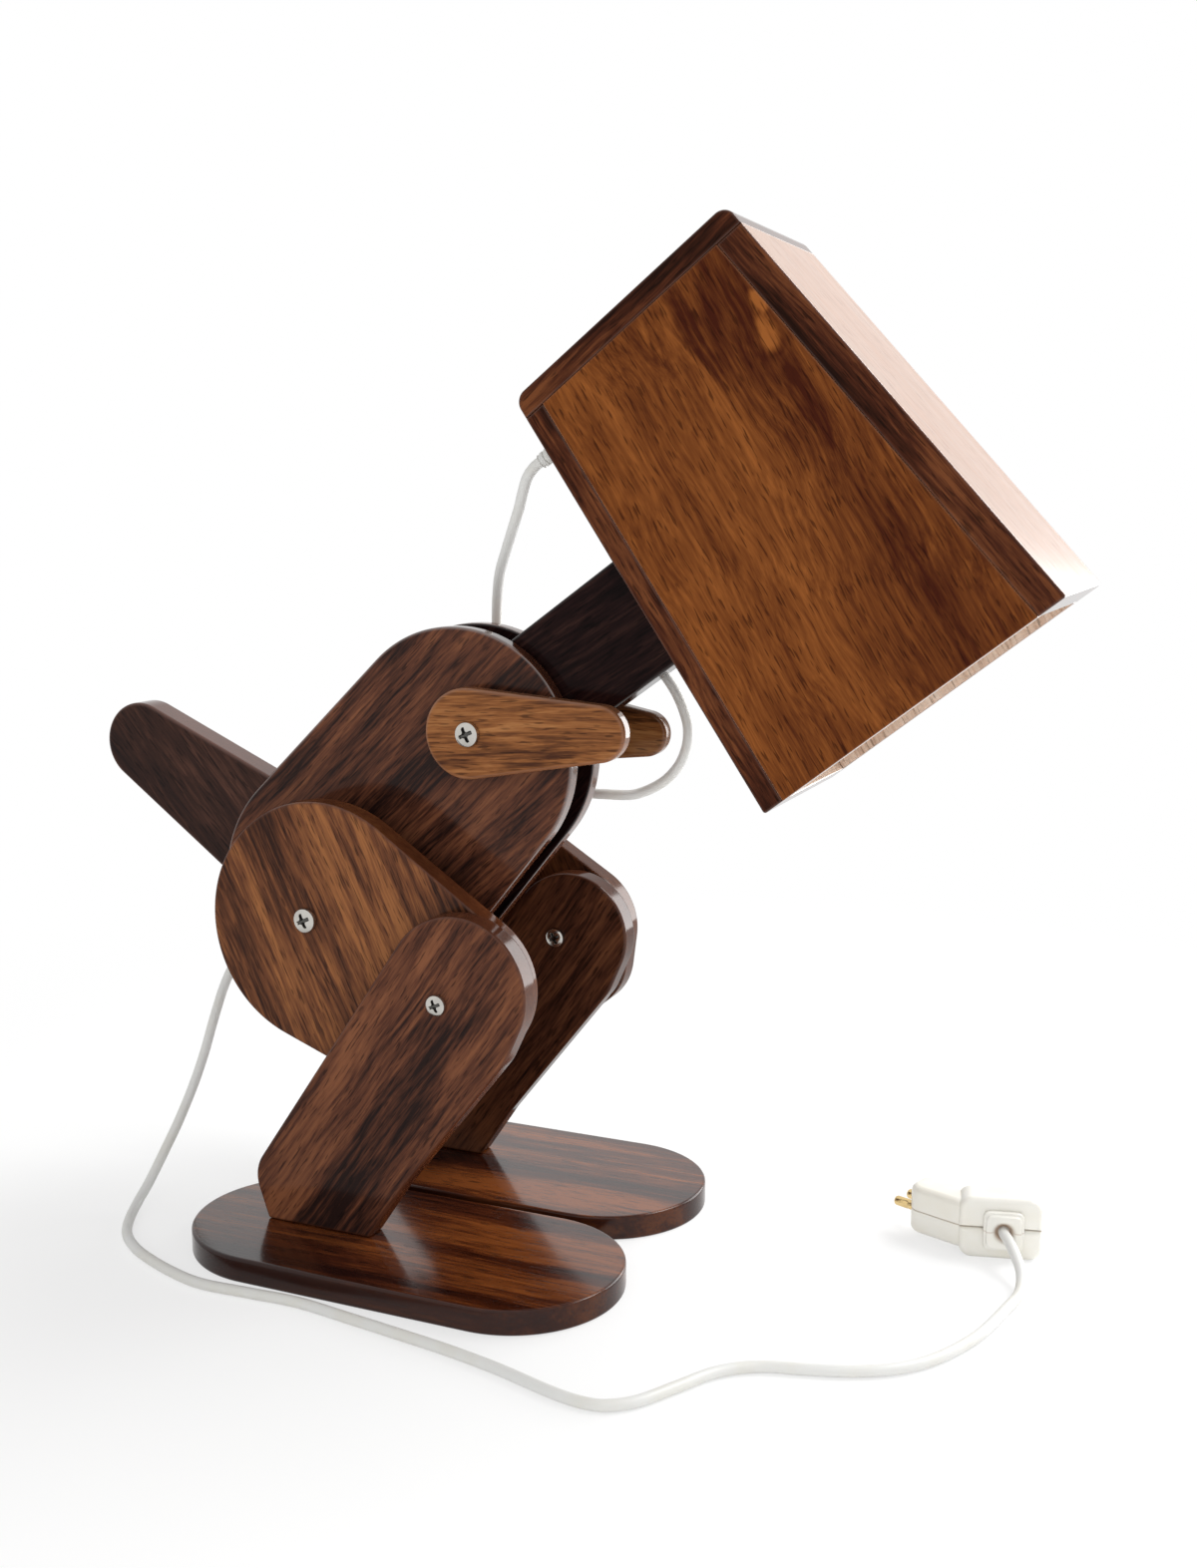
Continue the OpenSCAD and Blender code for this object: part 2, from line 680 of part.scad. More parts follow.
// The foot's screws go up from the sole into the shin
module foot_screw_places(y)
    for (x = foot_screw_x)
        translate([knee[0] + x, y, 0]) mirror([0, 0, 1]) translate([0, 0, -0.4]) children();

module foot(y, shin_y)
    color("#5a3222") difference() {
        translate([foot_c[0], y, foot_t / 2])
            link_board([(foot_w - foot_l) / 2, 0], foot_w / 2, [(foot_l - foot_w) / 2, 0],
                foot_w / 2, foot_t);
        foot_screw_places(shin_y) wood_screw_hole(foot_screw_depth);
    }

module foot_right() foot(-(foot_w + feet_gap) / 2, shin_right_y);
module foot_left() foot((foot_w + feet_gap) / 2, shin_left_y);
module foot_screws_right()
    color("silver") foot_screw_places(shin_right_y) wood_screw(foot_screw_depth);
module foot_screws_left()
    color("silver") foot_screw_places(shin_left_y) wood_screw(foot_screw_depth);

right_knee_nut_y = -right_thigh_in + run_gap;
left_knee_nut_y = left_thigh_out + run_gap;

module knee_bolt_right()
    color("silver") cross_bolt(knee, knee_bolt_r, knee_head_r,
        shin_right_y - shin_t / 2 - run_gap,
        right_knee_nut_y + nut_h_ratio * knee_bolt_r + thread_end);
module knee_bolt_left()
    color("silver") cross_bolt(left_knee, knee_bolt_r, knee_head_r,
        shin_left_y - shin_t / 2 - run_gap,
        left_knee_nut_y + nut_h_ratio * knee_bolt_r + thread_end);
module knee_nut_right() color("silver") lock_nut(knee, knee_bolt_r, right_knee_nut_y);
module knee_nut_left() color("silver") lock_nut(left_knee, knee_bolt_r, left_knee_nut_y);
module knee_washer_right()
    color("silver") ring(knee, knee_bolt_r, washer_r_ratio * knee_bolt_r,
        run_gap - right_shin_in, washer_t);
module knee_washer_left()
    color("silver") ring(left_knee, knee_bolt_r, washer_r_ratio * knee_bolt_r,
        left_shin_out + run_gap, washer_t);

// ---------------------------------------------------------------- lead and plug

// The strain relief plugs the hole in the jaw board and tapers to the lead outside
module cord_relief()
    color("white") at_jaw(lead_station) translate([0, lead_y, 0]) difference() {
        rotate_extrude($fn = 48)
            polygon([[0, jaw_t + relief_flange_t], [relief_flange_r, jaw_t + relief_flange_t],
                [relief_flange_r, jaw_t], [relief_base_r, jaw_t], [relief_base_r, -1],
                [lead_d / 2 + 0.9, -relief_l], [0, -relief_l]]);
        translate([0, 0, -relief_l - 1])
            cylinder(r = lead_d / 2 + bore_gap, h = relief_l + jaw_t + relief_flange_t + 2,
                $fn = 48);
    }

// Smooth curve through four points, at t from 0 to 1 between the middle two
function spline(a, b, c, d, t) = 0.5 * (2 * b + (c - a) * t
    + (2 * a - 5 * b + 4 * c - d) * t * t + (3 * b - a - 3 * c + d) * t * t * t);

// Middle line of a tube: its own points, and one more between each two of them
function densify(p) = let (n = len(p)) [for (i = [0:n - 2], t = [0, 0.5])
    spline(p[max(i - 1, 0)], p[i], p[i + 1], p[min(i + 2, n - 1)], t), p[n - 1]];

function unit(v) = v / norm(v);
function drop_part(v, n) = unit(v - (v * n) * n);

// Direction of a path at each of its points
function headings(p) = let (n = len(p))
    [for (i = [0:n - 1]) unit(p[min(i + 1, n - 1)] - p[max(i - 1, 0)])];

// Side directions that don't twist along the path
function sides(h, i, s, out) = i == len(h) ? out
    : let (v = drop_part(s, h[i])) sides(h, i + 1, v, concat(out, [v]));

// A round tube along the points from to last of a path, as one closed solid
module tube(p, from, last, r, n = 8) {
    h = headings(p);
    s = sides(h, 0, drop_part([0, 0.3, 1], h[0]), []);
    rings = [for (i = [from:last], k = [0:n - 1])
        let (a = 360 * k / n) p[i] + r * (cos(a) * s[i] + sin(a) * cross(h[i], s[i]))];
    m = last - from;
    faces = concat([[for (k = [0:n - 1]) k]], [[for (k = [0:n - 1]) m * n + n - 1 - k]],
        [for (i = [0:m - 1], k = [0:n - 1])
            let (j = (k + 1) % n) [(i + 1) * n + k, (i + 1) * n + j, i * n + j, i * n + k]]);
    polyhedron(points = rings, faces = faces);
}

module holder_lead() {
    p = densify(holder_route);
    color("white") in_head() tube(p, 0, len(p) - 1, lead_d / 2);
}

// The supply lead is one path, cut where it rests on the lamp and on the table
lead_path = densify(concat(head_route, loop_route, drop_route, floor_route));
head_last = 2 * len(head_route);
loop_last = head_last + 2 * len(loop_route);
drop_last = loop_last + 2 * len(drop_route);

module lead(from, last) color("white") tube(lead_path, from, last, lead_d / 2);
module cord_head() lead(0, head_last);
module cord_loop() lead(head_last, loop_last);
module cord_drop() lead(loop_last, drop_last);
module cord_floor() lead(drop_last, len(lead_path) - 1);

// The plug's own frame: X along its rear block's face, Y into the plug
module in_plug()
    translate([plug_at[0], plug_at[1], 0]) rotate([0, 0, plug_yaw]) children();
module in_plug_body()
    in_plug() translate([-plug_w / 2 - plug_left_by, 2, 0]) rotate([0, 0, plug_body_bend])
        children();

module rounded_square(w, h, r) {
    square([w - 2 * r, h], center = true);
    square([w, h - 2 * r], center = true);
    for (x = [-1, 1], y = [-1, 1])
        translate([x * (w / 2 - r), y * (h / 2 - r)]) circle(r = r, $fn = 32);
}

module plug_solid() {
    in_plug() translate([-plug_left_by, plug_d, plug_h / 2]) rotate([90, 0, 0])
        linear_extrude(plug_d) rounded_square(plug_w, plug_h, plug_corner);
    in_plug_body() translate([(plug_body_in - plug_body_l) / 2, plug_body_d / 2,
            plug_body_rise])
        linear_extrude(plug_h - 2 * plug_body_rise)
            rounded_square(plug_body_l + plug_body_in, plug_body_d, plug_body_corner);
}

module pin_places()
    for (s = [-1, 1])
        in_plug_body() translate([-plug_body_l, plug_body_d / 2 + s * pin_apart / 2,
                plug_h / 2])
            rotate([0, -90, 0]) children();

module plug_half(z, h)
    color("white") difference() {
        intersection() {
            plug_solid();
            translate([plug_at[0] - 100, plug_at[1] - 100, z]) cube([200, 200, h]);
        }
        pin_places() translate([0, 0, -pin_seat])
            cylinder(r = pin_r + bore_gap, h = pin_seat + 1, $fn = 32);
    }

module plug_lower_half() plug_half(0, plug_h / 2);
module plug_upper_half() plug_half(plug_h / 2, plug_h / 2);

// The collar on the rear block's face, with the hole that the lead goes into
module plug_collar()
    color("white") in_plug() translate([0, 0, plug_h / 2]) rotate([90, 0, 0])
        difference() {
            linear_extrude(collar_t) rounded_square(collar_w, collar_w, collar_corner);
            translate([0, 0, collar_seat])
                cylinder(r = collar_hole_r, h = collar_t, $fn = 48);
        }

module plug_pins()
    color("#c9a24a") pin_places() translate([0, 0, -pin_seat]) rotate_extrude($fn = 32)
        polygon([[0, 0], [pin_r, 0], [pin_r, pin_seat + pin_l - 1.5],
            [pin_r - 0.5, pin_seat + pin_l - 0.5], [pin_r - 1.2, pin_seat + pin_l],
            [0, pin_seat + pin_l]]);

torso_plate_right();
torso_plate_left();
shoulder_bolt();
shoulder_nut();
shoulder_washers();
arm_bush_right();
arm_bush_left();
hip_bolt();
hip_nut();
hip_washers();
hip_spacer_right();
hip_spacer_left();
neck();
neck_screws();
shade_top();
shade_back();
shade_jaw();
shade_side_right();
shade_side_left();
lamp_holder_foot();
lamp_holder_skirt();
lamp_holder_contact();
holder_screws();
bulb_globe();
bulb_cap();
cord_relief();
holder_lead();
tail();
arm_right();
arm_left();
thigh_right();
thigh_left();
knee_bolt_right();
knee_bolt_left();
knee_nut_right();
knee_nut_left();
knee_washer_right();
knee_washer_left();
shin_right();
shin_left();
foot_right();
foot_left();
foot_screws_right();
foot_screws_left();
cord_head();
cord_loop();
cord_drop();
cord_floor();
plug_lower_half();
plug_upper_half();
plug_collar();
plug_pins();
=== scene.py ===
"""Looks of the dinosaur shaped wooden desk lamp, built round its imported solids.

Every length in the dataclasses is in millimetres and becomes metres in the mesh. +X points
to the mouth of the head, +Y to the lamp's own left and +Z up, with the table at z = 0.
"""

from __future__ import annotations

import logging
import math
from dataclasses import dataclass, field
from enum import Enum
from typing import Sequence

import bpy
import numpy as np
from mathutils import Matrix

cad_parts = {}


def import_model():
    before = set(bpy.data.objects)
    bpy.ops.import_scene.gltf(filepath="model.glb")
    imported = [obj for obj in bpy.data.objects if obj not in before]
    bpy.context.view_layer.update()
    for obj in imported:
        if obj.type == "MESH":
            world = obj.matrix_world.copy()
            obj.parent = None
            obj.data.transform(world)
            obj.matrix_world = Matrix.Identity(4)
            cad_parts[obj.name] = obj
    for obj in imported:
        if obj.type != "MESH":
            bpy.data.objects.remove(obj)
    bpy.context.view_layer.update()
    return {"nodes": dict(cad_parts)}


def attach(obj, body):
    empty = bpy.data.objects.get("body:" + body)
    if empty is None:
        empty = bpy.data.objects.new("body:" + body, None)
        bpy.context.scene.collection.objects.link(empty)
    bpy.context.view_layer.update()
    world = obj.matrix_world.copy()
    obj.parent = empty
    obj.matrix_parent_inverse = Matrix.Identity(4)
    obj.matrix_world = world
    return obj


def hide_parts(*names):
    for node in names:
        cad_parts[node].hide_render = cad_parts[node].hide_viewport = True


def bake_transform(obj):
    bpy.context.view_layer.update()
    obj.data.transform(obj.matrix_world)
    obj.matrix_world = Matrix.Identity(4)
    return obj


LOG = logging.getLogger("dinosaur_lamp")
MM = 0.001
# A point this far from a bend, in millimetres, keeps the flat or straight part beside it flat.
HOLD = 0.35
# A side of a board faces a way when the cosine between the two is above this.
FACING = 0.8
WHITE = (1.0, 1.0, 1.0, 1.0)

Array = np.ndarray
Colour = tuple[float, float, float]
Point = tuple[float, float, float]
Flat = tuple[float, float]
Disc = tuple[float, float, float]


def share_of(colour: Colour, share: float) -> Colour:
    """A share of a colour, where 0 is black and 1 the colour itself."""
    return tuple(share * c for c in colour)


# ------------------------------------------------------------------ shader writing


class Signal:
    """A shader socket that can be written in sums, so that maths reads as Python."""

    def __init__(self, paint: Paint, socket: bpy.types.NodeSocket) -> None:
        """Wraps one output socket.

        Args:
            paint: the material or world that the socket belongs to.
            socket: the output socket.
        """
        self.paint = paint
        self.socket = socket

    def _math(self, operation: str, first: object, second: object = 0.0) -> Signal:
        """Adds a Math node.

        Args:
            operation: the node's operation.
            first: a Signal or number.
            second: a Signal or number.

        Returns:
            The node's output.
        """
        return self.paint.node("ShaderNodeMath", {"operation": operation}, [first, second])

    def __add__(self, other: object) -> Signal:
        """self + other."""
        return self._math("ADD", self, other)

    __radd__ = __add__

    def __sub__(self, other: object) -> Signal:
        """self - other."""
        return self._math("SUBTRACT", self, other)

    def __rsub__(self, other: object) -> Signal:
        """other - self."""
        return self._math("SUBTRACT", other, self)

    def __mul__(self, other: object) -> Signal:
        """self * other."""
        return self._math("MULTIPLY", self, other)

    __rmul__ = __mul__

    def largest(self, other: object) -> Signal:
        """The larger of self and other."""
        return self._math("MAXIMUM", self, other)

    def step(self, low: float, high: float) -> Signal:
        """A smooth step from 0 at low to 1 at high.

        Args:
            low: the value at which the step begins.
            high: the value at which it ends.

        Returns:
            The step, which falls where high is below low.
        """
        settings = {"interpolation_type": "SMOOTHSTEP"}
        if low < high:
            return self.paint.node("ShaderNodeMapRange", settings, [self, low, high, 0.0, 1.0])
        return self.paint.node("ShaderNodeMapRange", settings, [self, high, low, 1.0, 0.0])


class Paint:
    """The shader nodes of a material or a world under construction."""

    def __init__(self, owner: bpy.types.Material | bpy.types.World) -> None:
        """Starts with no nodes.

        Args:
            owner: the new material or world.
        """
        self.owner = owner
        self.owner.use_nodes = True
        self.tree = owner.node_tree
        self.tree.nodes.clear()

    @classmethod
    def material(cls, name: str) -> Paint:
        """Starts an empty material."""
        return cls(bpy.data.materials.new(name))

    def add(
        self,
        kind: str,
        settings: dict[str, object] | None = None,
        inputs: Sequence[object] | dict[str, object] = (),
    ) -> bpy.types.Node:
        """Adds one node.

        Args:
            kind: the node's type.
            settings: its own settings, and "stops" for a ramp's colours.
            inputs: values or Signals for its sockets, in order or by name.

        Returns:
            The node.
        """
        made = self.tree.nodes.new(kind)
        for key, value in (settings or {}).items():
            if key == "stops":
                self._stops(made, value)
            else:
                setattr(made, key, value)
        pairs = inputs.items() if isinstance(inputs, dict) else enumerate(inputs)
        for key, value in pairs:
            if isinstance(value, Signal):
                self.tree.links.new(value.socket, made.inputs[key])
            else:
                made.inputs[key].default_value = value
        return made

    def node(
        self,
        kind: str,
        settings: dict[str, object] | None = None,
        inputs: Sequence[object] | dict[str, object] = (),
        output: int | str = 0,
    ) -> Signal:
        """Adds one node and takes one of its outputs.

        Args:
            kind: the node's type.
            settings: its own settings, and "stops" for a ramp's colours.
            inputs: values or Signals for its sockets, in order or by name.
            output: which output to return.

        Returns:
            That output.
        """
        return Signal(self, self.add(kind, settings, inputs).outputs[output])

    @staticmethod
    def _stops(ramp: bpy.types.Node, stops: Sequence[tuple[float, Colour]]) -> None:
        """Sets a colour ramp's stops.

        Args:
            ramp: the ColorRamp node.
            stops: places from 0 to 1 with their colours.
        """
        elements = ramp.color_ramp.elements
        while len(elements) < len(stops):
            elements.new(1.0)
        for element, (place, colour) in zip(elements, stops):
            element.position = place
            element.color = (*colour, 1.0)

    def place(self) -> Signal:
        """Object coordinates, in metres."""
        return self.node("ShaderNodeTexCoord", output="Object")

    def mapped(
        self,
        vector: Signal,
        scale: Sequence[float],
        turn: Sequence[float] = (0.0, 0.0, 0.0),
        move: Sequence[float] = (0.0, 0.0, 0.0),
    ) -> Signal:
        """Turns, moves and scales coordinates.

        Args:
            vector: the coordinates.
            scale: the scale along each axis.
            turn: the rotation in radians.
            move: the translation.

        Returns:
            The new coordinates.
        """
        inputs = [vector, tuple(move), tuple(turn), tuple(scale)]
        return self.node("ShaderNodeMapping", inputs=inputs)

    def noise(
        self,
        vector: Signal,
        scale: Sequence[float],
        detail: float = 2.0,
        rough: float = 0.5,
        bend: float = 0.0,
    ) -> Signal:
        """Noise of about one cell per unit of the scaled coordinates.

        Args:
            vector: the coordinates.
            scale: their scale along each axis.
            detail: the number of octaves.
            rough: the weight of each finer octave.
            bend: the distortion.

        Returns:
            A value about 0.5.
        """
        inputs = {"Vector": self.mapped(vector, scale), "Scale": 1.0, "Detail": detail}
        inputs |= {"Roughness": rough, "Distortion": bend}
        return self.node("ShaderNodeTexNoise", {"noise_dimensions": "3D"}, inputs)

    def ramp(self, value: Signal, stops: Sequence[tuple[float, Colour]]) -> Signal:
        """A colour ramp with easy changes between its stops."""
        return self.node("ShaderNodeValToRGB", {"stops": stops}, [value])

    def blend(self, factor: object, first: object, second: object) -> Signal:
        """Mixes two colours.

        Args:
            factor: how much of the second is used.
            first: a Signal or colour.
            second: a Signal or colour.

        Returns:
            The mixed colour.
        """
        first = first if isinstance(first, Signal) else (*first, 1.0)
        second = second if isinstance(second, Signal) else (*second, 1.0)
        inputs = {0: factor, 6: first, 7: second}
        return self.node("ShaderNodeMix", {"data_type": "RGBA"}, inputs, output=2)

    def length(self, vector: Signal) -> Signal:
        """The length of a vector."""
        return self.node("ShaderNodeVectorMath", {"operation": "LENGTH"}, [vector], "Value")

    def attribute(self, name: str) -> Signal:
        """The value of a mesh attribute."""
        return self.node("ShaderNodeAttribute", {"attribute_name": name}, output="Fac")

    def bump(self, height: Signal, distance: float, strength: float) -> Signal:
        """A normal that is tilted by a height in metres.

        Args:
            height: the height from 0 to 1.
            distance: the height that 1 stands for, in metres.
            strength: the weight of the effect.

        Returns:
            The normal.
        """
        inputs = {"Strength": strength, "Distance": distance, "Height": height}
        return self.node("ShaderNodeBump", inputs=inputs)

    def surface(self, **sockets: object) -> bpy.types.Material:
        """Ends the material with a Principled shader.

        Args:
            **sockets: the shader's sockets, with _ for a space.

        Returns:
            The material.
        """
        inputs = {key.replace("_", " "): value for key, value in sockets.items()}
        self.show(self.node("ShaderNodeBsdfPrincipled", inputs=inputs))
        return self.owner

    def show(self, shader: Signal, kind: str = "ShaderNodeOutputMaterial") -> None:
        """Links a shader to the output node of the material or world."""
        self.add(kind, inputs={"Surface": shader})


@dataclass(frozen=True)
class Knot:
    """A long spot in a board, lighter or darker than the wood round it.

    Its place, its length along the grain and its width are in metres. Its weight is added
    to the wood's tone, so that a spot of less than 0 is dark.
    """

    x: float
    z: float
    length: float
    width: float
    weight: float


@dataclass(frozen=True)
class Wood:
    """A varnished wood whose grain runs straight along one direction of its board.

    slope is the grain's angle in degrees and offset picks the stretch of noise that a board
    shows. Across the grain there are about as many streaks and zones to a metre as the
    fields say, and run streaks along it. wander bends the grain, contrast weighs zones and
    streaks, fibre weighs the hairlines, and lift is added to the whole tone. coat is the
    varnish on the faces, edge_coat that on the edges and shine its index of refraction.
    gloss is the bare wood's own shine.
    """

    name: str
    dark: Colour
    middle: Colour
    light: Colour
    band: Colour
    slope: float = 0.0
    offset: tuple[float, float, float] = (0.0, 0.0, 0.0)
    streaks: float = 125.0
    zones: float = 38.0
    run: float = 9.0
    wander: float = 0.5
    contrast: float = 1.0
    fibre: float = 1.5
    lift: float = 0.0
    roughness: float = 0.3
    coat: float = 0.2
    edge_coat: float = 1.0
    shine: float = 1.5
    gloss: float = 0.0
    knots: tuple[Knot, ...] = ()

    # Noise scales, first along the grain and then across it, in cells to a metre.
    HAIRS = (32.0, 520.0, 520.0)
    PORES = (95.0, 900.0, 900.0)
    HAZE = (40.0, 60.0, 60.0)
    WAVE = (9.0, 22.0, 22.0)
    RAGGED = (90.0, 140.0, 140.0)
    # The tones at which the wood is dark, mellow, middling and light.
    STOPS = (0.14, 0.34, 0.52, 0.9)

    def material(self) -> bpy.types.Material:
        """Builds the wood.

        Noise is stretched along the grain. Wide zones of light and dark wood carry streaks,
        then fine hairlines, and at last short dark pores. The edges of a board, marked by
        its attribute, are plainer.

        Returns:
            The material.
        """
        paint = Paint.material(self.name)
        turn = (0.0, math.radians(self.slope), 0.0)
        grain = paint.mapped(paint.place(), (1.0, 1.0, 1.0), turn, self.offset)
        bend = self.wandering(paint, grain)
        zones = paint.noise(bend, (0.6 * self.run, self.zones, self.zones))
        streaks = paint.noise(bend, (self.run, self.streaks, self.streaks), 3.0, 0.6, 0.3)
        hairs = paint.noise(bend, self.HAIRS, 3.0, 0.66)
        pores = paint.noise(grain, self.PORES, 1.0).step(0.58, 0.68)
        tone = (zones - 0.5) * (1.5 * self.contrast) + (streaks - 0.5) * (0.9 * self.contrast)
        tone = tone + (hairs - 0.5) * self.fibre + (0.5 + self.lift)
        for knot in self.knots:
            tone = tone + self.knot_shade(paint, bend, knot)
        mellow = tuple(0.55 * a + 0.45 * b for a, b in zip(self.dark, self.middle))
        colours = (self.dark, mellow, self.middle, self.light)
        colour = paint.ramp(tone, list(zip(self.STOPS, colours)))
        colour = paint.blend(pores * 0.6, colour, share_of(self.dark, 0.4))
        band = paint.blend(hairs.step(0.35, 0.65) * 0.5, self.band, share_of(self.band, 0.5))
        edge = paint.attribute("band")
        colour = paint.blend(edge * 0.7, colour, band)
        haze = paint.noise(grain, self.HAZE)
        rough = self.roughness + (haze - 0.5) * 0.12 + pores * 0.1
        height = hairs * 0.4 - pores * 0.7 + streaks * 0.3
        return paint.surface(
            Base_Color=colour,
            Roughness=rough,
            Coat_Weight=edge * (self.edge_coat - self.coat) + self.coat,
            Coat_Roughness=0.12,
            Coat_IOR=self.shine,
            Specular_IOR_Level=self.gloss,
            Normal=paint.bump(height, 0.00004, 0.6),
        )

    def wandering(self, paint: Paint, grain: Signal) -> Signal:
        """Coordinates whose cross-grain place wanders by some millimetres.

        Args:
            paint: the material.
            grain: the straight coordinates.

        Returns:
            The wandering coordinates.
        """
        wave = paint.noise(grain, self.WAVE)
        shift = (wave - 0.5) * (self.wander * 0.02)
        vector = paint.node("ShaderNodeCombineXYZ", inputs=[0.0, shift, shift])
        return paint.node("ShaderNodeVectorMath", {"operation": "ADD"}, [grain, vector])

    def knot_shade(self, paint: Paint, bend: Signal, knot: Knot) -> Signal:
        """Lightens or darkens an uneven oval that lies along the grain.

        Args:
            paint: the material.
            bend: the wood's wandering coordinates, which make the oval uneven.
            knot: the spot.

        Returns:
            What to add to the wood's tone.
        """
        c, s = math.cos(math.radians(self.slope)), math.sin(math.radians(self.slope))
        along, across = knot.x * c + knot.z * s, knot.z * c - knot.x * s
        middle = (along + self.offset[0], 0.0, across + self.offset[2])
        size = (1 / knot.length, 0.0, 1 / knot.width)
        place = paint.mapped(bend, size, move=tuple(-m * k for m, k in zip(middle, size)))
        ragged = (paint.noise(bend, self.RAGGED) - 0.5) * 1.1
        far = paint.length(place) + ragged
        return far.step(1.15, 0.35) * knot.weight


@dataclass(frozen=True)
class Metal:
    """A turned or plated metal, darkened towards black as painted shade where its attribute says
    so.
    """

    name: str
    colour: Colour
    roughness: float

    SCRATCHES = (900.0,) * 3
    CLOUDS = (160.0,) * 3

    def material(self) -> bpy.types.Material:
        """Builds the metal: fine scratches and a faint cloud change its gloss.

        Returns:
            The material.
        """
        paint = Paint.material(self.name)
        place = paint.place()
        fine = paint.noise(place, self.SCRATCHES, rough=0.6)
        cloud = paint.noise(place, self.CLOUDS)
        colour = paint.blend(cloud.step(0.35, 0.7) * 0.6, self.colour, share_of(self.colour, 0.82))
        # Painted shade: the colour that darkens the marked recess.
        recess_shade = share_of(self.colour, 0.09)
        return paint.surface(
            Base_Color=paint.blend(paint.attribute("recess_shade") * 0.92, colour, recess_shade),
            Metallic=1.0,
            Roughness=self.roughness + (fine - 0.5) * 0.12 + (cloud - 0.5) * 0.08,
            Normal=paint.bump(fine, 0.000008, 0.5),
        )


@dataclass(frozen=True)
class Plastic:
    """A moulded plastic.

    Where it has a seam, at that height in metres, dirt lies in the seam. The hollows that its
    attribute marks are darkened with the same brown, as painted shade.
    """

    name: str
    colour: Colour
    roughness: float
    coat: float
    grain: float = 2500.0
    seam: float | None = None

    CLOUDS = (55.0,) * 3
    YELLOWING = (0.97, 0.95, 0.9)
    SEAM_DIRT_AND_SHADE = (0.36, 0.22, 0.13)

    def material(self) -> bpy.types.Material:
        """Builds the plastic: a fine moulded grain and faint yellowing.

        Returns:
            The material.
        """
        paint = Paint.material(self.name)
        place = paint.place()
        fine = paint.noise(place, (self.grain,) * 3)
        cloud = paint.noise(place, self.CLOUDS, 3.0)
        aged = tuple(c * k for c, k in zip(self.colour, self.YELLOWING))
        colour = paint.blend(cloud.step(0.4, 0.7) * 0.7, self.colour, aged)
        if self.seam is not None:
            height = paint.node("ShaderNodeSeparateXYZ", inputs=[place], output=2)
            away = paint.node("ShaderNodeMath", {"operation": "ABSOLUTE"}, [height - self.seam])
            dirt = away.step(0.0005, 0.0001) * 0.35
            # Dirt in the seam, and painted shade in the marked hollows.
            colour = paint.blend(dirt.largest(paint.attribute("recess_shade") * 0.8), colour, self.SEAM_DIRT_AND_SHADE)
        return paint.surface(
            Base_Color=colour,
            Roughness=self.roughness + (cloud - 0.5) * 0.14,
            Coat_Weight=self.coat,
            Coat_Roughness=0.15,
            Normal=paint.bump(fine, 0.00001, 0.6),
        )


@dataclass(frozen=True)
class Frosted:
    """The white inner coat of a bulb's glass."""

    name: str
    colour: Colour = (0.82, 0.81, 0.77)

    def material(self) -> bpy.types.Material:
        """Builds the glass: smooth outside, milky within.

        Returns:
            The material.
        """
        paint = Paint.material(self.name)
        cloud = paint.noise(paint.place(), (40.0,) * 3)
        shade = share_of(self.colour, 0.94)
        return paint.surface(
            Base_Color=paint.blend(cloud.step(0.35, 0.7), self.colour, shade),
            Roughness=0.22 + (cloud - 0.5) * 0.08,
            Coat_Weight=1.0,
            Coat_Roughness=0.03,
            Subsurface_Weight=0.25,
            Subsurface_Radius=(0.01, 0.01, 0.009),
        )


Finish = Wood | Metal | Plastic | Frosted


class Finishes:
    """Makes each material once, when it is first asked for."""

    def __init__(self) -> None:
        """Starts with no material."""
        self._made: dict[str, bpy.types.Material] = {}

    def of(self, finish: Finish) -> bpy.types.Material:
        """The material of a finish.

        Args:
            finish: the finish.

        Returns:
            Its material, which all pieces of that finish share.
        """
        if finish.name not in self._made:
            self._made[finish.name] = finish.material()
        return self._made[finish.name]


CHROME = Metal("bright_chrome", (0.56, 0.54, 0.5), 0.2)
STEEL = Metal("zinc_steel", (0.6, 0.6, 0.6), 0.32)
BRASS = Metal("plug_brass", (0.78, 0.58, 0.28), 0.22)
HOLDER_WHITE = Plastic("holder_white", (0.8, 0.79, 0.75), 0.3, 0.3)
LEAD_WHITE = Plastic("lead_white", (0.72, 0.72, 0.7), 0.42, 0.1, 1800.0)
PLUG_WHITE = Plastic("plug_white", (0.8, 0.785, 0.73), 0.34, 0.25, seam=0.015)
GLOBE = Frosted("bulb_opal")


# ------------------------------------------------------------------ surfaces


@dataclass(frozen=True)
class Placement:
    """Carries local coordinates into the lamp's: a point is origin + x*u + y*v + z*w."""

    origin: Point
    u: Point
    v: Point
    w: Point

    def carry(self, points: Array) -> Array:
        """Places points of any shape (..., 3), in millimetres.

        Args:
            points: the local points.

        Returns:
            The same points in the lamp's frame.
        """
        axes = np.array([self.u, self.v, self.w], float)
        return np.asarray(points, float) @ axes + np.array(self.origin, float)

    @staticmethod
    def across(x: float, z: float, y: float) -> Placement:
        """A turned piece on a line across the lamp, its nose to the lamp's right."""
        return Placement((x, y, z), (1.0, 0.0, 0.0), (0.0, 0.0, 1.0), (0.0, -1.0, 0.0))

    @staticmethod
    def upright(y: float) -> Placement:
        """A board in the XZ plane with its middle at y; its thickness runs along Y."""
        return Placement.across(0.0, 0.0, y)


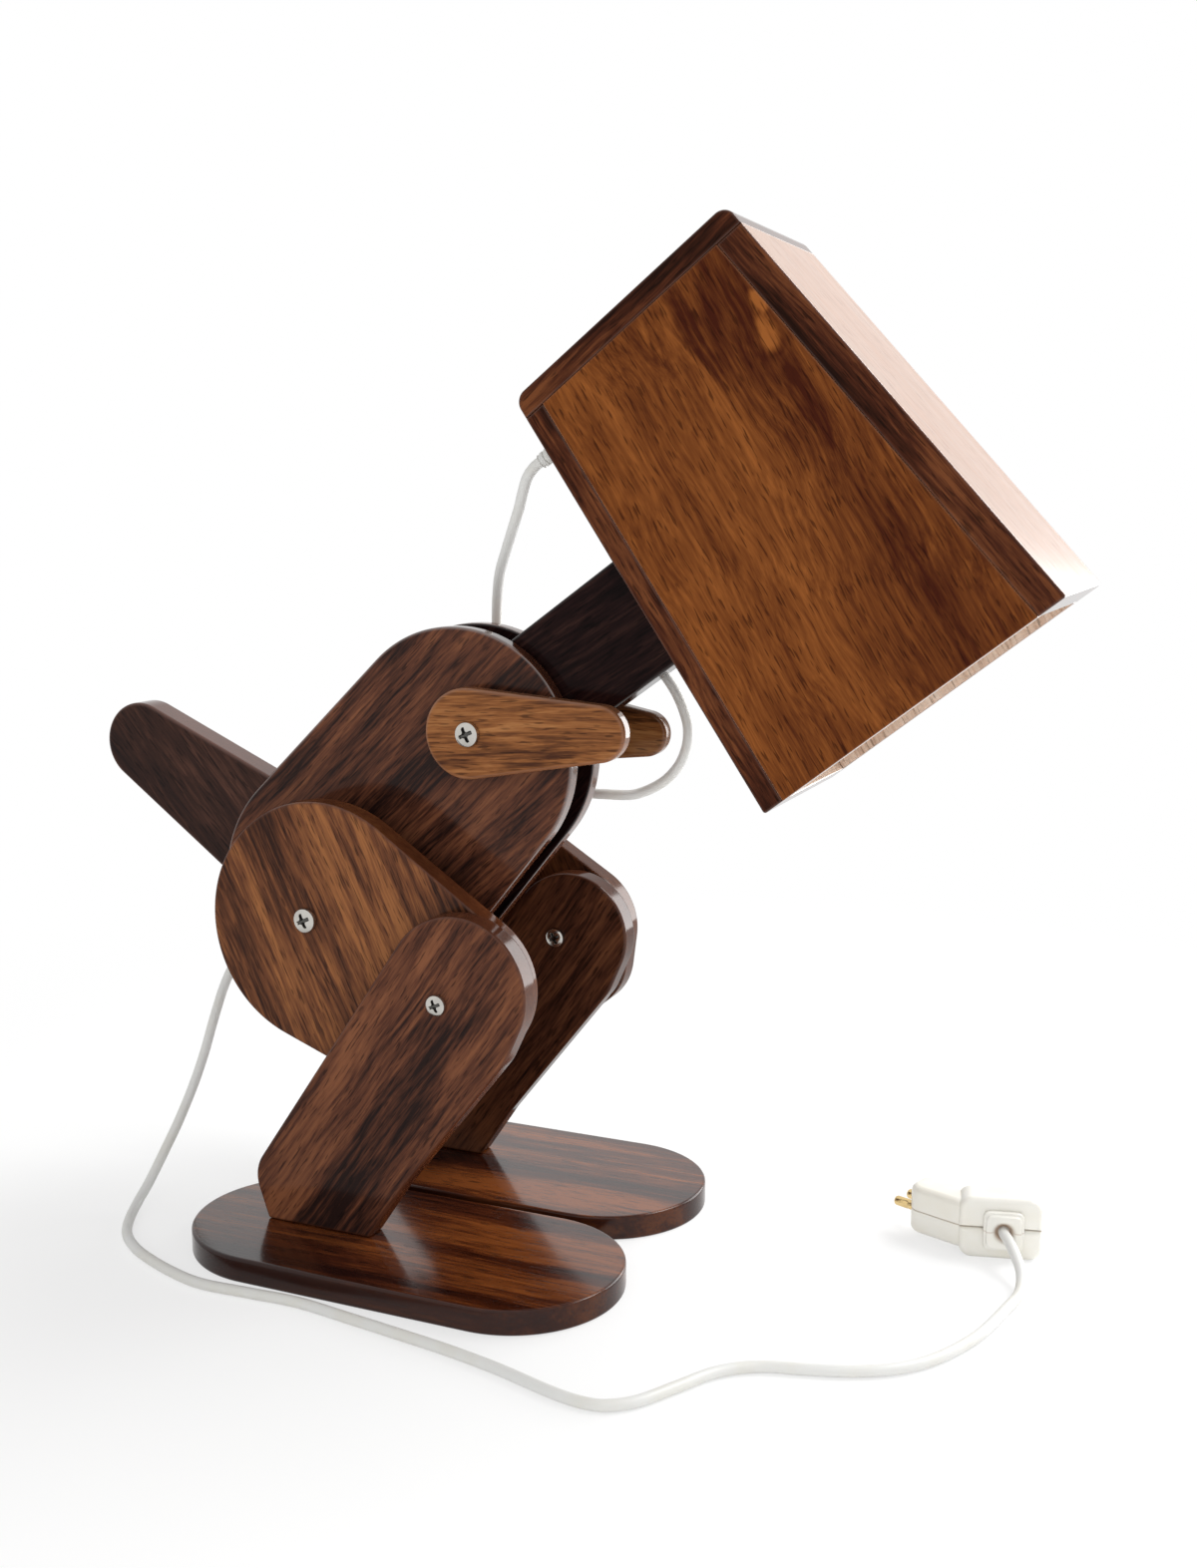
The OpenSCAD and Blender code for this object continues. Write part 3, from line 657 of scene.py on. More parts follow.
class Meshes:
    """Turns arrays of points into Blender meshes."""

    @staticmethod
    def make(
        name: str,
        points: Array,
        faces: Sequence[Sequence[int]],
        sharp: float = 35.0,
        marks: dict[str, Array] | None = None,
    ) -> bpy.types.Object:
        """Makes a mesh object at the origin.

        Args:
            name: the piece's name.
            points: (n, 3) points in millimetres.
            faces: lists of point numbers.
            sharp: edges that bend more than this many degrees stay sharp.
            marks: point attributes.

        Returns:
            The object.
        """
        mesh = bpy.data.meshes.new(name)
        mesh.from_pydata((np.asarray(points) * MM).tolist(), [], [list(f) for f in faces])
        mesh.validate()
        mesh.polygons.foreach_set("use_smooth", np.ones(len(mesh.polygons), bool))
        mesh.set_sharp_from_angle(angle=math.radians(sharp))
        for key, values in (marks or {}).items():
            layer = mesh.attributes.new(key, "FLOAT", "POINT")
            layer.data.foreach_set("value", np.asarray(values, np.float32).ravel())
        mesh.update()
        made = bpy.data.objects.new(name, mesh)
        bpy.context.scene.collection.objects.link(made)
        return made

    @staticmethod
    def grid_faces(rows: int, columns: int, around: bool = True) -> Array:
        """The quads of a grid of points.

        Args:
            rows: how many rows the grid has.
            columns: how many points each row has.
            around: whether each row closes on itself.

        Returns:
            (n, 4) point numbers.
        """
        across = columns if around else columns - 1
        i, j = np.meshgrid(np.arange(rows - 1), np.arange(across), indexing="ij")
        k = (j + 1) % columns
        quads = [i * columns + j, i * columns + k, (i + 1) * columns + k, (i + 1) * columns + j]
        return np.stack(quads, -1).reshape(-1, 4)

    @staticmethod
    def rings(
        name: str,
        rings: Array,
        sharp: float = 35.0,
        marks: dict[str, Array] | None = None,
        capped: bool = True,
    ) -> bpy.types.Object:
        """A skin over rings of points, closed by a face at each end.

        Args:
            name: the piece's name.
            rings: (rows, columns, 3) points in millimetres.
            sharp: edges that bend more than this many degrees stay sharp.
            marks: point attributes of shape (rows, columns).
            capped: whether the ends are closed.

        Returns:
            The object.
        """
        rows, columns = rings.shape[:2]
        faces = Meshes.grid_faces(rows, columns).tolist()
        if capped:
            faces.append(list(range(columns))[::-1])
            faces.append(list(range((rows - 1) * columns, rows * columns)))
        return Meshes.make(name, rings.reshape(-1, 3), faces, sharp, marks)


@dataclass(frozen=True)
class Outline:
    """A closed outline, with what it takes to draw it in from its edge.

    On a round corner each point moves towards the middle of its disc until it gets there.
    From then on it moves along the mitre, where the straight runs beside the corner meet.
    """

    points: Array
    normals: Array
    radii: Array
    mitres: Array

    def inset(self, depth: float) -> Array:
        """The outline drawn in by a depth.

        Args:
            depth: the depth in millimetres, or less than 0 to draw it out.

        Returns:
            (n, 2) points.
        """
        square = np.where(self.radii < 0, depth, np.minimum(depth, self.radii))[:, None]
        return self.points - square * self.normals - (depth - square) * self.mitres


def belt(discs: Sequence[Disc], step: float) -> Outline:
    """The tight belt round discs, taken anticlockwise.

    Between two discs the belt is their common tangent: its heading is the heading of their
    middles less asin of the change of radius over the distance. On a disc it turns from the
    heading that comes in to the one that goes out, and one more point stands a little way
    out on each straight run, to keep its shading flat. A disc of negative radius lies
    outside the belt and makes a hollow corner. A corner's mitre is (m + n) / (1 + m . n),
    where m and n are the normals of the runs before and after it.

    Args:
        discs: x, z and radius of each disc.
        step: the longest turn between two points, in degrees.

    Returns:
        The outline.
    """
    data = np.array(discs, float)
    centre, radius = data[:, :2], data[:, 2]
    ahead = np.roll(centre, -1, 0) - centre
    change = (np.roll(radius, -1) - radius) / np.hypot(*ahead.T)
    heading = np.arctan2(ahead[:, 1], ahead[:, 0]) - np.arcsin(np.clip(change, -1, 1))
    parts = []
    for k in range(len(data)):
        start, turn = heading[k - 1], heading[k] - heading[k - 1]
        turn = turn % math.tau if radius[k] > 0 else -((-turn) % math.tau)
        count = max(2, int(abs(turn) / math.radians(step)) + 1)
        angle = start + np.linspace(0, turn, count)
        outward = np.stack([np.sin(angle), -np.cos(angle)], -1)
        mitre = (outward[0] + outward[-1]) / max(1 + outward[0] @ outward[-1], 0.05)
        spots = centre[k] + radius[k] * outward
        before, after = (np.array([-o[1], o[0]]) * HOLD for o in (outward[0], outward[-1]))
        spots = np.concatenate([spots[:1] - before, spots, spots[-1:] + after])
        outward = np.concatenate([outward[:1], outward, outward[-1:]])
        count = len(spots)
        parts.append((spots, outward, np.full(count, radius[k]), np.tile(mitre, (count, 1))))
    return Outline(*(np.concatenate(column) for column in zip(*parts)))


def stack(
    name: str,
    outline: Outline,
    profile: Sequence[Flat],
    placement: Placement,
    full: float,
) -> bpy.types.Object:
    """A board from its outline and the profile of its edge.

    Each point (inset, height) of the profile is one ring: the outline drawn in by the inset,
    at that height.

    Args:
        name: the piece's name.
        outline: the outline, in u and v of the placement.
        profile: insets and heights along w, from the back face to the front face.
        placement: where it lies.
        full: the inset at which an edge has turned into a face.

    Returns:
        The board, with the attribute band at 1 on its edges and 0 on its faces.
    """
    inset, height = np.array(profile, float).T
    flat = np.stack([outline.inset(depth) for depth in inset])
    level = np.broadcast_to(height[:, None, None], flat.shape[:2] + (1,))
    rings = placement.carry(np.concatenate([flat, level], -1))
    band = np.clip(1.15 - inset / full, 0, 1)[:, None] * np.ones(flat.shape[1])
    return Meshes.rings(name, rings, 40.0, {"band": band})


def slab(
    name: str,
    outline: Outline,
    thickness: float,
    ease: float,
    placement: Placement,
    steps: int = 5,
) -> bpy.types.Object:
    """A board with round edges, from its outline.

    Over each edge its rings run along a quarter circle of radius ease: the inset is
    ease * (1 - sin a) and the height rises by ease * (1 - cos a). One more ring on each side
    of the quarter circle keeps the face and the rim flat.

    Args:
        name: the piece's name.
        outline: the outline.
        thickness: the board's thickness.
        ease: the radius of its edges.
        placement: where it lies; its outline is in u and v, its thickness along w.
        steps: how many points each round edge has.

    Returns:
        The board.
    """
    angle = np.linspace(0, math.pi / 2, steps)
    inset = np.concatenate([[ease + HOLD], ease * (1 - np.sin(angle)), [0.0]])
    height = np.concatenate([[0.0], ease * (1 - np.cos(angle)), [ease + HOLD]]) - thickness / 2
    lower = np.stack([inset, height], -1)
    profile = np.concatenate([lower, lower[::-1] * (1, -1)])
    return stack(name, outline, profile, placement, ease)


def unit(vectors: Array) -> Array:
    """Vectors of length 1 along each row."""
    return vectors / np.linalg.norm(vectors, axis=-1, keepdims=True)


def around(sides: int) -> Array:
    """The angles of evenly spaced points round a circle."""
    return np.arange(sides) * math.tau / sides


def turned(radius: Array, height: Array, angle: Array) -> Array:
    """Rings of points (radius * cos a, radius * sin a, height), one point at each angle a."""
    return np.stack([radius * np.cos(angle), radius * np.sin(angle), height + 0 * angle], -1)


def lathe(
    name: str,
    profile: Sequence[Flat],
    placement: Placement,
    sides: int = 64,
    sharp: float = 30.0,
    capped: bool = True,
) -> bpy.types.Object:
    """A turned piece: each profile point (radius, height) goes round the w axis.

    Args:
        name: the piece's name.
        profile: radius and height, from the bottom to the top on the outside.
        placement: where it stands.
        sides: how many points each ring has.
        sharp: edges that bend more than this many degrees stay sharp.
        capped: whether the ends are closed. A point on the axis is a ring of 2 micrometres.

    Returns:
        The turned piece.
    """
    radius, height = np.hsplit(np.array(profile, float), 2)
    rings = turned(np.maximum(radius, 0.002), height, around(sides))
    return Meshes.rings(name, placement.carry(rings), sharp, capped=capped)


def through(points: Sequence[Sequence[float]], steps: int) -> Array:
    """A smooth line through points.

    Between b and c, with a before them and d after, it is the cubic that leaves b along
    c - a and comes to c along d - b, both at half their length.

    Args:
        points: the points.
        steps: how many pieces each stretch is cut into.

    Returns:
        (n, 3) points.
    """
    p = np.array(points, float)
    padded = np.concatenate([p[:1], p, p[-1:]])
    t = (np.arange(steps) / steps)[None, :, None]
    a, b, c, d = (padded[k : len(p) - 1 + k][:, None] for k in range(4))
    square, cube = 2 * a - 5 * b + 4 * c - d, 3 * b - a - 3 * c + d
    curve = 0.5 * (2 * b + (c - a) * t + square * t**2 + cube * t**3)
    return np.concatenate([curve.reshape(-1, 3), p[-1:]])


def tube(name: str, path: Array, radius: float, sides: int = 24) -> bpy.types.Object:
    """A round tube along a path.

    Each ring lies square to the path. Its side direction is the last one with what runs
    along the path taken out, so that the rings don't twist.

    Args:
        name: the piece's name.
        path: (n, 3) points.
        radius: the tube's radius.
        sides: how many points each ring has.

    Returns:
        The tube.
    """
    heading = np.gradient(path, axis=0)
    heading /= np.linalg.norm(heading, axis=1, keepdims=True)
    side = np.empty_like(path)
    last = np.array([0.1, 0.3, 1.0])
    for k, ahead in enumerate(heading):
        last = last - ahead * (last @ ahead)
        last = last / np.linalg.norm(last)
        side[k] = last
    other = np.cross(heading, side)[:, None]
    c, s = np.cos(around(sides))[None, :, None], np.sin(around(sides))[None, :, None]
    spread = c * side[:, None] + s * other
    return Meshes.rings(name, path[:, None] + radius * spread, 50.0)


# ------------------------------------------------------------------ the lamp's skeleton


class Side(Enum):
    """The lamp's own right and left, with the sign of Y."""

    RIGHT = -1
    LEFT = 1

    @property
    def word(self) -> str:
        """The side's name, as bodies and pieces have it."""
        return self.name.lower()


@dataclass(frozen=True)
class Skeleton:
    """Bolts and main places of the lamp, in millimetres in the XZ plane."""

    knee: Flat = (-22.935, 130.8)
    left_knee: Flat = (-16.435, 135.7)
    hip: Flat = (-100.074, 159.487)
    shoulder: Flat = (-21.663, 250.327)
    head: Flat = (59.874, 434.53)
    neck_end: Flat = (68.138, 315.571)
    foot_x: float = -46.735
    head_tilt: float = 51.9
    tail_slope: float = 30.3

    def from_hip(self, x: float, z: float, turn: float) -> Flat:
        """A point given from the hip bolt, on axes turned by some degrees."""
        return self.offset(self.hip, x, z, turn)

    @staticmethod
    def offset(base: Flat, x: float, z: float, turn: float) -> Flat:
        """A point given from another on axes that are turned.

        Args:
            base: the point to start from.
            x: the distance along the turned X axis.
            z: the distance along the turned Z axis.
            turn: the turn in degrees.

        Returns:
            The point.
        """
        c, s = math.cos(math.radians(turn)), math.sin(math.radians(turn))
        return base[0] + x * c - z * s, base[1] + x * s + z * c


BONES = Skeleton()

# The woods' colours: their dark, middle and light streaks, and the band at a board's edges.
ROSEWOOD: dict[str, Colour] = {
    "dark": (0.017, 0.0075, 0.0062),
    "middle": (0.098, 0.034, 0.0185),
    "light": (0.21, 0.078, 0.036),
    "band": (0.1, 0.03, 0.013),
}
FIGURED: dict[str, Colour] = {
    "dark": (0.03, 0.0115, 0.0075),
    "middle": (0.142, 0.05, 0.0215),
    "light": (0.31, 0.12, 0.042),
    "band": (0.105, 0.028, 0.009),
}
FOOTWOOD: dict[str, Colour] = {
    "dark": (0.015, 0.0028, 0.0016),
    "middle": (0.066, 0.0145, 0.0044),
    "light": (0.2, 0.056, 0.013),
    "band": (0.026, 0.0085, 0.0058),
}
WALNUT: dict[str, Colour] = {
    "dark": (0.06, 0.02, 0.009),
    "middle": (0.245, 0.09, 0.0285),
    "light": (0.41, 0.18, 0.064),
    "band": (0.3, 0.125, 0.06),
}
EBONY: dict[str, Colour] = {
    "dark": (0.0045, 0.0022, 0.0022),
    "middle": (0.0135, 0.0052, 0.005),
    "light": (0.036, 0.0155, 0.012),
    "band": (0.014, 0.006, 0.0055),
}
TAILWOOD: dict[str, Colour] = {
    "dark": (0.014, 0.0075, 0.007),
    "middle": (0.038, 0.0165, 0.012),
    "light": (0.1, 0.043, 0.029),
    "band": (0.12, 0.045, 0.028),
}
SHADE: dict[str, Colour] = {
    "dark": (0.014, 0.0045, 0.0024),
    "middle": (0.06, 0.0165, 0.0075),
    "light": (0.16, 0.052, 0.019),
    "band": (0.085, 0.026, 0.0105),
}
PANEL: dict[str, Colour] = {
    "dark": (0.05, 0.01, 0.0042),
    "middle": (0.158, 0.046, 0.011),
    "light": (0.31, 0.1, 0.023),
    "band": (0.28, 0.1, 0.032),
}
# Painted glare: the top board's outer face is painted pale for the light shining off its varnish.
PAINTED_GLARE_TOP: dict[str, Colour] = {
    "dark": (0.58, 0.4, 0.31),
    "middle": (0.78, 0.58, 0.475),
    "light": (0.87, 0.72, 0.63),
    "band": (0.36, 0.21, 0.145),
}
PALE_INSIDE: dict[str, Colour] = {
    "dark": (0.55, 0.38, 0.28),
    "middle": (0.77, 0.6, 0.48),
    "light": (0.85, 0.71, 0.6),
    "band": (0.74, 0.57, 0.45),
}
# Knots, dark patches and broad light zones of the right cheek panel.
PANEL_KNOTS = (
    Knot(0.1257, 0.4209, 0.01, 0.0055, 0.8),
    Knot(0.1215, 0.4345, 0.006, 0.0045, 0.8),
    Knot(0.1228, 0.4217, 0.026, 0.0115, -0.14),
    Knot(0.0908, 0.4217, 0.026, 0.006, -0.3),
    Knot(0.1027, 0.4232, 0.018, 0.004, -0.15),
    Knot(0.105, 0.424, 0.055, 0.036, -0.15),
    Knot(0.1, 0.3, 0.085, 0.032, 0.12),
    Knot(0.056, 0.385, 0.05, 0.02, 0.12),
    Knot(0.1429, 0.3951, 0.03, 0.006, -0.16),
)


def painted_shade_of(colours: dict[str, Colour], tone: float) -> dict[str, Colour]:
    """The colours of a wood darkened by a tone from 0 to 1, as painted shade for a piece that lies
    in shadow.
    """
    return {key: share_of(colour, tone) for key, colour in colours.items()}


class Builder:
    """What every sub-assembly needs: its finishes and a way to hand in a piece."""

    def __init__(self, finishes: Finishes) -> None:
        """Keeps the lamp's shared finishes."""
        self.finishes = finishes

    def paint(self, piece: bpy.types.Object, finish: Finish) -> None:
        """Gives a piece one finish all over."""
        piece.data.materials.clear()
        piece.data.materials.append(self.finishes.of(finish))

    def dress(
        self,
        piece: bpy.types.Object,
        finish: Finish,
        body: str | None,
        slot: str,
        nodes: Sequence[str] = (),
    ) -> bpy.types.Object:
        """Gives a piece its finish, its body and the solids that it stands for.

        Args:
            piece: the piece.
            finish: its finish.
            body: the body it rides on, or None if it bends between two.
            slot: the name of a material slot; not used.
            nodes: the solids it stands for.

        Returns:
            The piece.
        """
        self.paint(piece, finish)
        if nodes:
            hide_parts(*nodes)
        if body:
            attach(piece, body)
        LOG.info("%s rides on %s", piece.name, body or "two bodies")
        return piece

    def face(self, board: bpy.types.Object, finish: Wood, way: Sequence[float]) -> None:
        """Gives another finish to the side of a board that faces one way.

        Args:
            board: the board.
            finish: the finish of that side.
            way: the direction the side faces.
        """
        sides = board.data.polygons
        facing = np.array([side.normal[:] for side in sides]) @ np.array(way, float)
        index = np.empty(len(sides), np.int32)
        sides.foreach_get("material_index", index)
        index[facing > FACING] = len(board.data.materials)
        board.data.materials.append(self.finishes.of(finish))
        sides.foreach_set("material_index", index)

    def keep(self, node: bpy.types.Object, finish: Metal) -> None:
        """Gives a solid that stays as it is its finish."""
        self.paint(node, finish)
        LOG.info("%s stays as its solid", node.name)


@dataclass
class PanBolt:
    """A cross-recessed pan head bolt with its lock nut, on a line across the lamp.

    Its head's flat is at head_y and its nut's flat at nut_y.
    """

    place: Flat
    radius: float
    head_radius: float
    head_y: float
    nut_y: float
    recess_turn: float = 24.0

    def head(self, name: str) -> bpy.types.Object:
        """The head and shank in one skin.

        With h the head's height, R its radius and r the distance from its middle, the dome's
        height over the flat is h * (1 - 0.42 * (r / R) ** 3.2) up to its rounded rim. The
        recess takes 0.62 h away inside a cross with steep walls, and less towards its ends.
        The attribute that paints the recess dark, as shade, is 1 in the recess.

        Args:
            name: the piece's name.

        Returns:
            The bolt.
        """
        big, tall = self.head_radius, 0.6 * self.head_radius
        angle = around(96)
        r = np.linspace(0.0, 0.93, 34)[:, None] * big
        x, y = r * np.cos(angle), r * np.sin(angle)
        turn = math.radians(self.recess_turn)
        a = x * math.cos(turn) + y * math.sin(turn)
        b = y * math.cos(turn) - x * math.sin(turn)
        arm, wide = 0.56 * big, 0.115 * big

        def arm_depth(along: Array, across: Array) -> Array:
            """How deep one bar of the cross is.

            Args:
                along: the distance along the bar.
                across: the distance across it.

            Returns:
                1 inside the bar and 0 outside.
            """
            ends = np.clip((arm - np.abs(along)) / (0.12 * big) + 0.5, 0, 1)
            walls = np.clip((wide - np.abs(across)) / (0.05 * big) + 0.5, 0, 1)
            return ends * walls

        middle = np.clip((0.24 * big - r) / (0.07 * big) + 0.5, 0, 1) + 0 * x
        recess = np.maximum(np.maximum(arm_depth(a, b), arm_depth(b, a)), middle)
        fade = 1 - 0.45 * np.clip(r / arm, 0, 1) ** 2
        top = tall * (1 - 0.42 * (r / big) ** 3.2) - 0.62 * tall * recess * fade
        rim = np.array([(0.965, 0.5), (0.99, 0.4), (1.0, 0.28), (1.0, 0.06), (0.985, 0.0)])
        low = turned(rim[:, :1] * big, rim[:, 1:] * tall, angle)
        end = self.head_y - (self.nut_y + 5 / 3 * self.radius + 2)
        shank = np.array([(self.radius, 0.0), (self.radius, end + 0.6), (self.radius - 0.6, end)])
        stem = turned(shank[:, :1], shank[:, 1:], angle)
        rings = np.concatenate([turned(r, top, angle), low, stem])[::-1]
        plain = np.zeros((len(low) + len(stem), len(angle)))
        # Painted shade: the recess is marked to be darkened.
        recess_shade = np.concatenate([np.clip(1.6 * recess - 0.3, 0, 1), plain])[::-1]
        placement = Placement.across(*self.place, self.head_y)
        return Meshes.rings(name, placement.carry(rings), 28.0, {"recess_shade": recess_shade})

    def nut(self, name: str) -> bpy.types.Object:
        """The lock nut: a hexagon with turned-down corners and a round collar.

        In each direction the hexagon's radius is its flat's over the cosine of the angle to
        the nearest flat's middle, and a cone limits it near each face.

        Args:
            name: the piece's name.

        Returns:
            The nut.
        """
        tall = flat = 5 / 3 * self.radius
        angle = around(96)
        near = (angle + math.pi / 6) % (math.pi / 3) - math.pi / 6
        hexagon = flat / np.cos(near)
        bore = (self.radius + 0.15) / flat
        # Height over the nut's height, largest radius over its flat, and 1 for a round ring.
        rows = [
            (-0.02, bore, 1),
            (-0.02, 1.02, 0),
            (-0.1, 1.11, 0),
            (-0.14, 1.2, 0),
            (-0.66, 1.2, 0),
            (-0.72, 1.1, 0),
            (-0.8, 0.98, 0),
            (-0.8, 0.88, 1),
            (-0.95, 0.84, 1),
            (-1.0, 0.78, 1),
            (-1.0, bore, 1),
        ]
        height, limit, is_round = np.hsplit(np.array(rows), 3)
        limit = limit * flat
        radius = np.where(is_round, limit, np.minimum(hexagon, limit))
        rings = turned(radius, height * tall, angle)[::-1]
        placement = Placement.across(*self.place, self.nut_y)
        return Meshes.rings(name, placement.carry(rings), 25.0, capped=False)


def washer(
    name: str, place: Flat, y: float, inner: float, outer: float, thick: float
) -> bpy.types.Object:
    """A flat ring with soft edges on a bolt, from y to y + thick.

    Args:
        name: the piece's name.
        place: the bolt's place.
        y: the right face.
        inner: the bore's radius.
        outer: the outer radius.
        thick: the thickness.

    Returns:
        The ring.
    """
    soft = min(0.35, thick / 3)
    profile = [
        (inner, -thick),
        (outer - soft, -thick),
        (outer, soft - thick),
        (outer, -soft),
        (outer - soft, 0.0),
        (inner, 0.0),
        (inner, -thick),
    ]
    return lathe(name, profile, Placement.across(*place, y), sharp=28.0, capped=False)


# ------------------------------------------------------------------ sub-assemblies


@dataclass
class Torso:
    """Two boards on the shoulder and hip bolts, with the spacers and nuts."""

    builder: Builder
    hip_radius: float = 66.0
    chest_radius: float = 60.0
    thickness: float = 8.0
    ease: float = 1.2
    lean: float = 49.2
    low_disc: Flat = (5.0, 5.5)
    high_disc: Flat = (101.6, 2.5)
    inner_face: float = 8.7
    grain: float = 44.0
    bolt_radius: float = 3.0
    head_radius: float = 6.0
    bore: float = 3.1
    washer_t: float = 1.0

    def boards(self) -> None:
        """The right and the left body board, their inner faces painted dark as shade."""
        low = BONES.from_hip(*self.low_disc, self.lean)
        high = BONES.from_hip(*self.high_disc, self.lean)
        outline = belt([(*low, self.hip_radius), (*high, self.chest_radius)], 2.5)
        middle = self.inner_face + self.thickness / 2
        # Painted shade: the boards' inner faces, seen in the gap between them, are painted near
        # black.
        inner = Wood("torso_gap_painted_shade", **EBONY, slope=self.grain, coat=0.0)
        for side, offset in ((Side.RIGHT, (0.31, 0.0, 0.12)), (Side.LEFT, (0.9, 0.4, 0.3))):
            wood = Wood(
                f"rosewood_torso_{side.word}",
                **ROSEWOOD,
                slope=self.grain,
                offset=offset,
                coat=0.06,
                shine=2.4,
            )
            placement = Placement.upright(side.value * middle)
            name = f"body_board_{side.word}"
            board = slab(name, outline, self.thickness, self.ease, placement)
            self.builder.dress(board, wood, "torso", "rosewood", [f"torso_plate_{side.word}"])
            self.builder.face(board, inner, (0.0, -side.value, 0.0))

    def hardware(self) -> None:
        """Bolts, nuts, washers, bushes and spacers of the shoulder and the hip."""
        dress = self.builder.dress
        for name, place, head_y, nut_y in (
            ("shoulder", BONES.shoulder, -29.1, 30.2),
            ("hip", BONES.hip, -46.9, 79.9),
        ):
            bolt = PanBolt(place, self.bolt_radius, self.head_radius, head_y, nut_y)
            dress(bolt.head(f"{name}_pan_bolt"), CHROME, "torso", "chrome", [f"{name}_bolt"])
            dress(bolt.nut(f"{name}_lock_nut"), CHROME, "torso", "chrome", [f"{name}_nut"])
            for tag, y in (("right", -8.6), ("left", 7.6), ("nut", nut_y - 1.1)):
                size = (self.bore, self.head_radius, self.washer_t)
                ring = washer(f"{name}_washer_{tag}", place, y, *size)
                nodes = [f"{name}_washers"] if tag == "right" else []
                dress(ring, CHROME, "torso", "chrome", nodes)
        spacer = Wood("spacer_wood", **ROSEWOOD, slope=90.0, offset=(0.2, 0.7, 0.1))
        for name, place, y, outer, length in (
            ("arm_bush_right", BONES.shoulder, -20.9, 7.8, 4.1),
            ("arm_bush_left", BONES.shoulder, 16.8, 7.8, 4.1),
            ("hip_spacer_right", BONES.hip, -34.7, 12.0, 18.0),
            ("hip_spacer_left", BONES.hip, 16.7, 12.0, 49.9),
        ):
            piece = washer(f"turned_{name}", place, y, self.bore, outer, length)
            dress(piece, spacer, "torso", "ebonised_wood", [name])

    def build(self) -> None:
        """Builds the torso."""
        self.boards()
        self.hardware()


@dataclass
class Tail:
    """The tail board on the hip bolt."""

    builder: Builder
    tip: float = 143.8
    tip_radius: float = 20.5
    root_radius: float = 36.0
    thickness: float = 15.0
    ease: float = 1.4

    def build(self) -> None:
        """Builds the tail."""
        end = BONES.from_hip(self.tip, 0.0, 180.0 - BONES.tail_slope)
        outline = belt([(*BONES.hip, self.root_radius), (*end, self.tip_radius)], 3.0)
        wood = Wood(
            "rosewood_tail",
            **TAILWOOD,
            slope=-47.0,
            offset=(0.5, 0.2, 0.8),
            contrast=0.5,
            fibre=1.0,
        )
        placement = Placement.upright(0.0)
        board = slab("tail_board", outline, self.thickness, self.ease, placement)
        self.builder.dress(board, wood, "tail", "ebonised_wood", ["tail"])


@dataclass
class Arm:
    """One arm board, which tapers to its round tip."""

    builder: Builder
    side: Side
    hand: float
    hand_radius: float
    slope: float
    offset: Point
    # Below 1 the arm's wood is darkened as painted shade.
    tone: float = 1.0
    radius: float = 21.2
    back: float = 1.6
    middle: float = 25.0
    thickness: float = 8.0
    ease: float = 1.6

    def build(self) -> None:
        """Builds the arm."""
        root = Skeleton.offset(BONES.shoulder, -self.back, 0.0, self.slope)
        hand = Skeleton.offset(BONES.shoulder, self.hand, 0.0, self.slope)
        outline = belt([(*root, self.radius), (*hand, self.hand_radius)], 3.0)
        word = self.side.word
        wood = Wood(
            f"walnut_arm_{word}",
            **painted_shade_of(WALNUT, self.tone),
            slope=self.slope,
            offset=self.offset,
            contrast=0.9,
        )
        placement = Placement.upright(self.side.value * self.middle)
        board = slab(f"arm_board_{word}", outline, self.thickness, self.ease, placement)
        self.builder.dress(board, wood, f"{word}_arm", "walnut", [f"arm_{word}"])


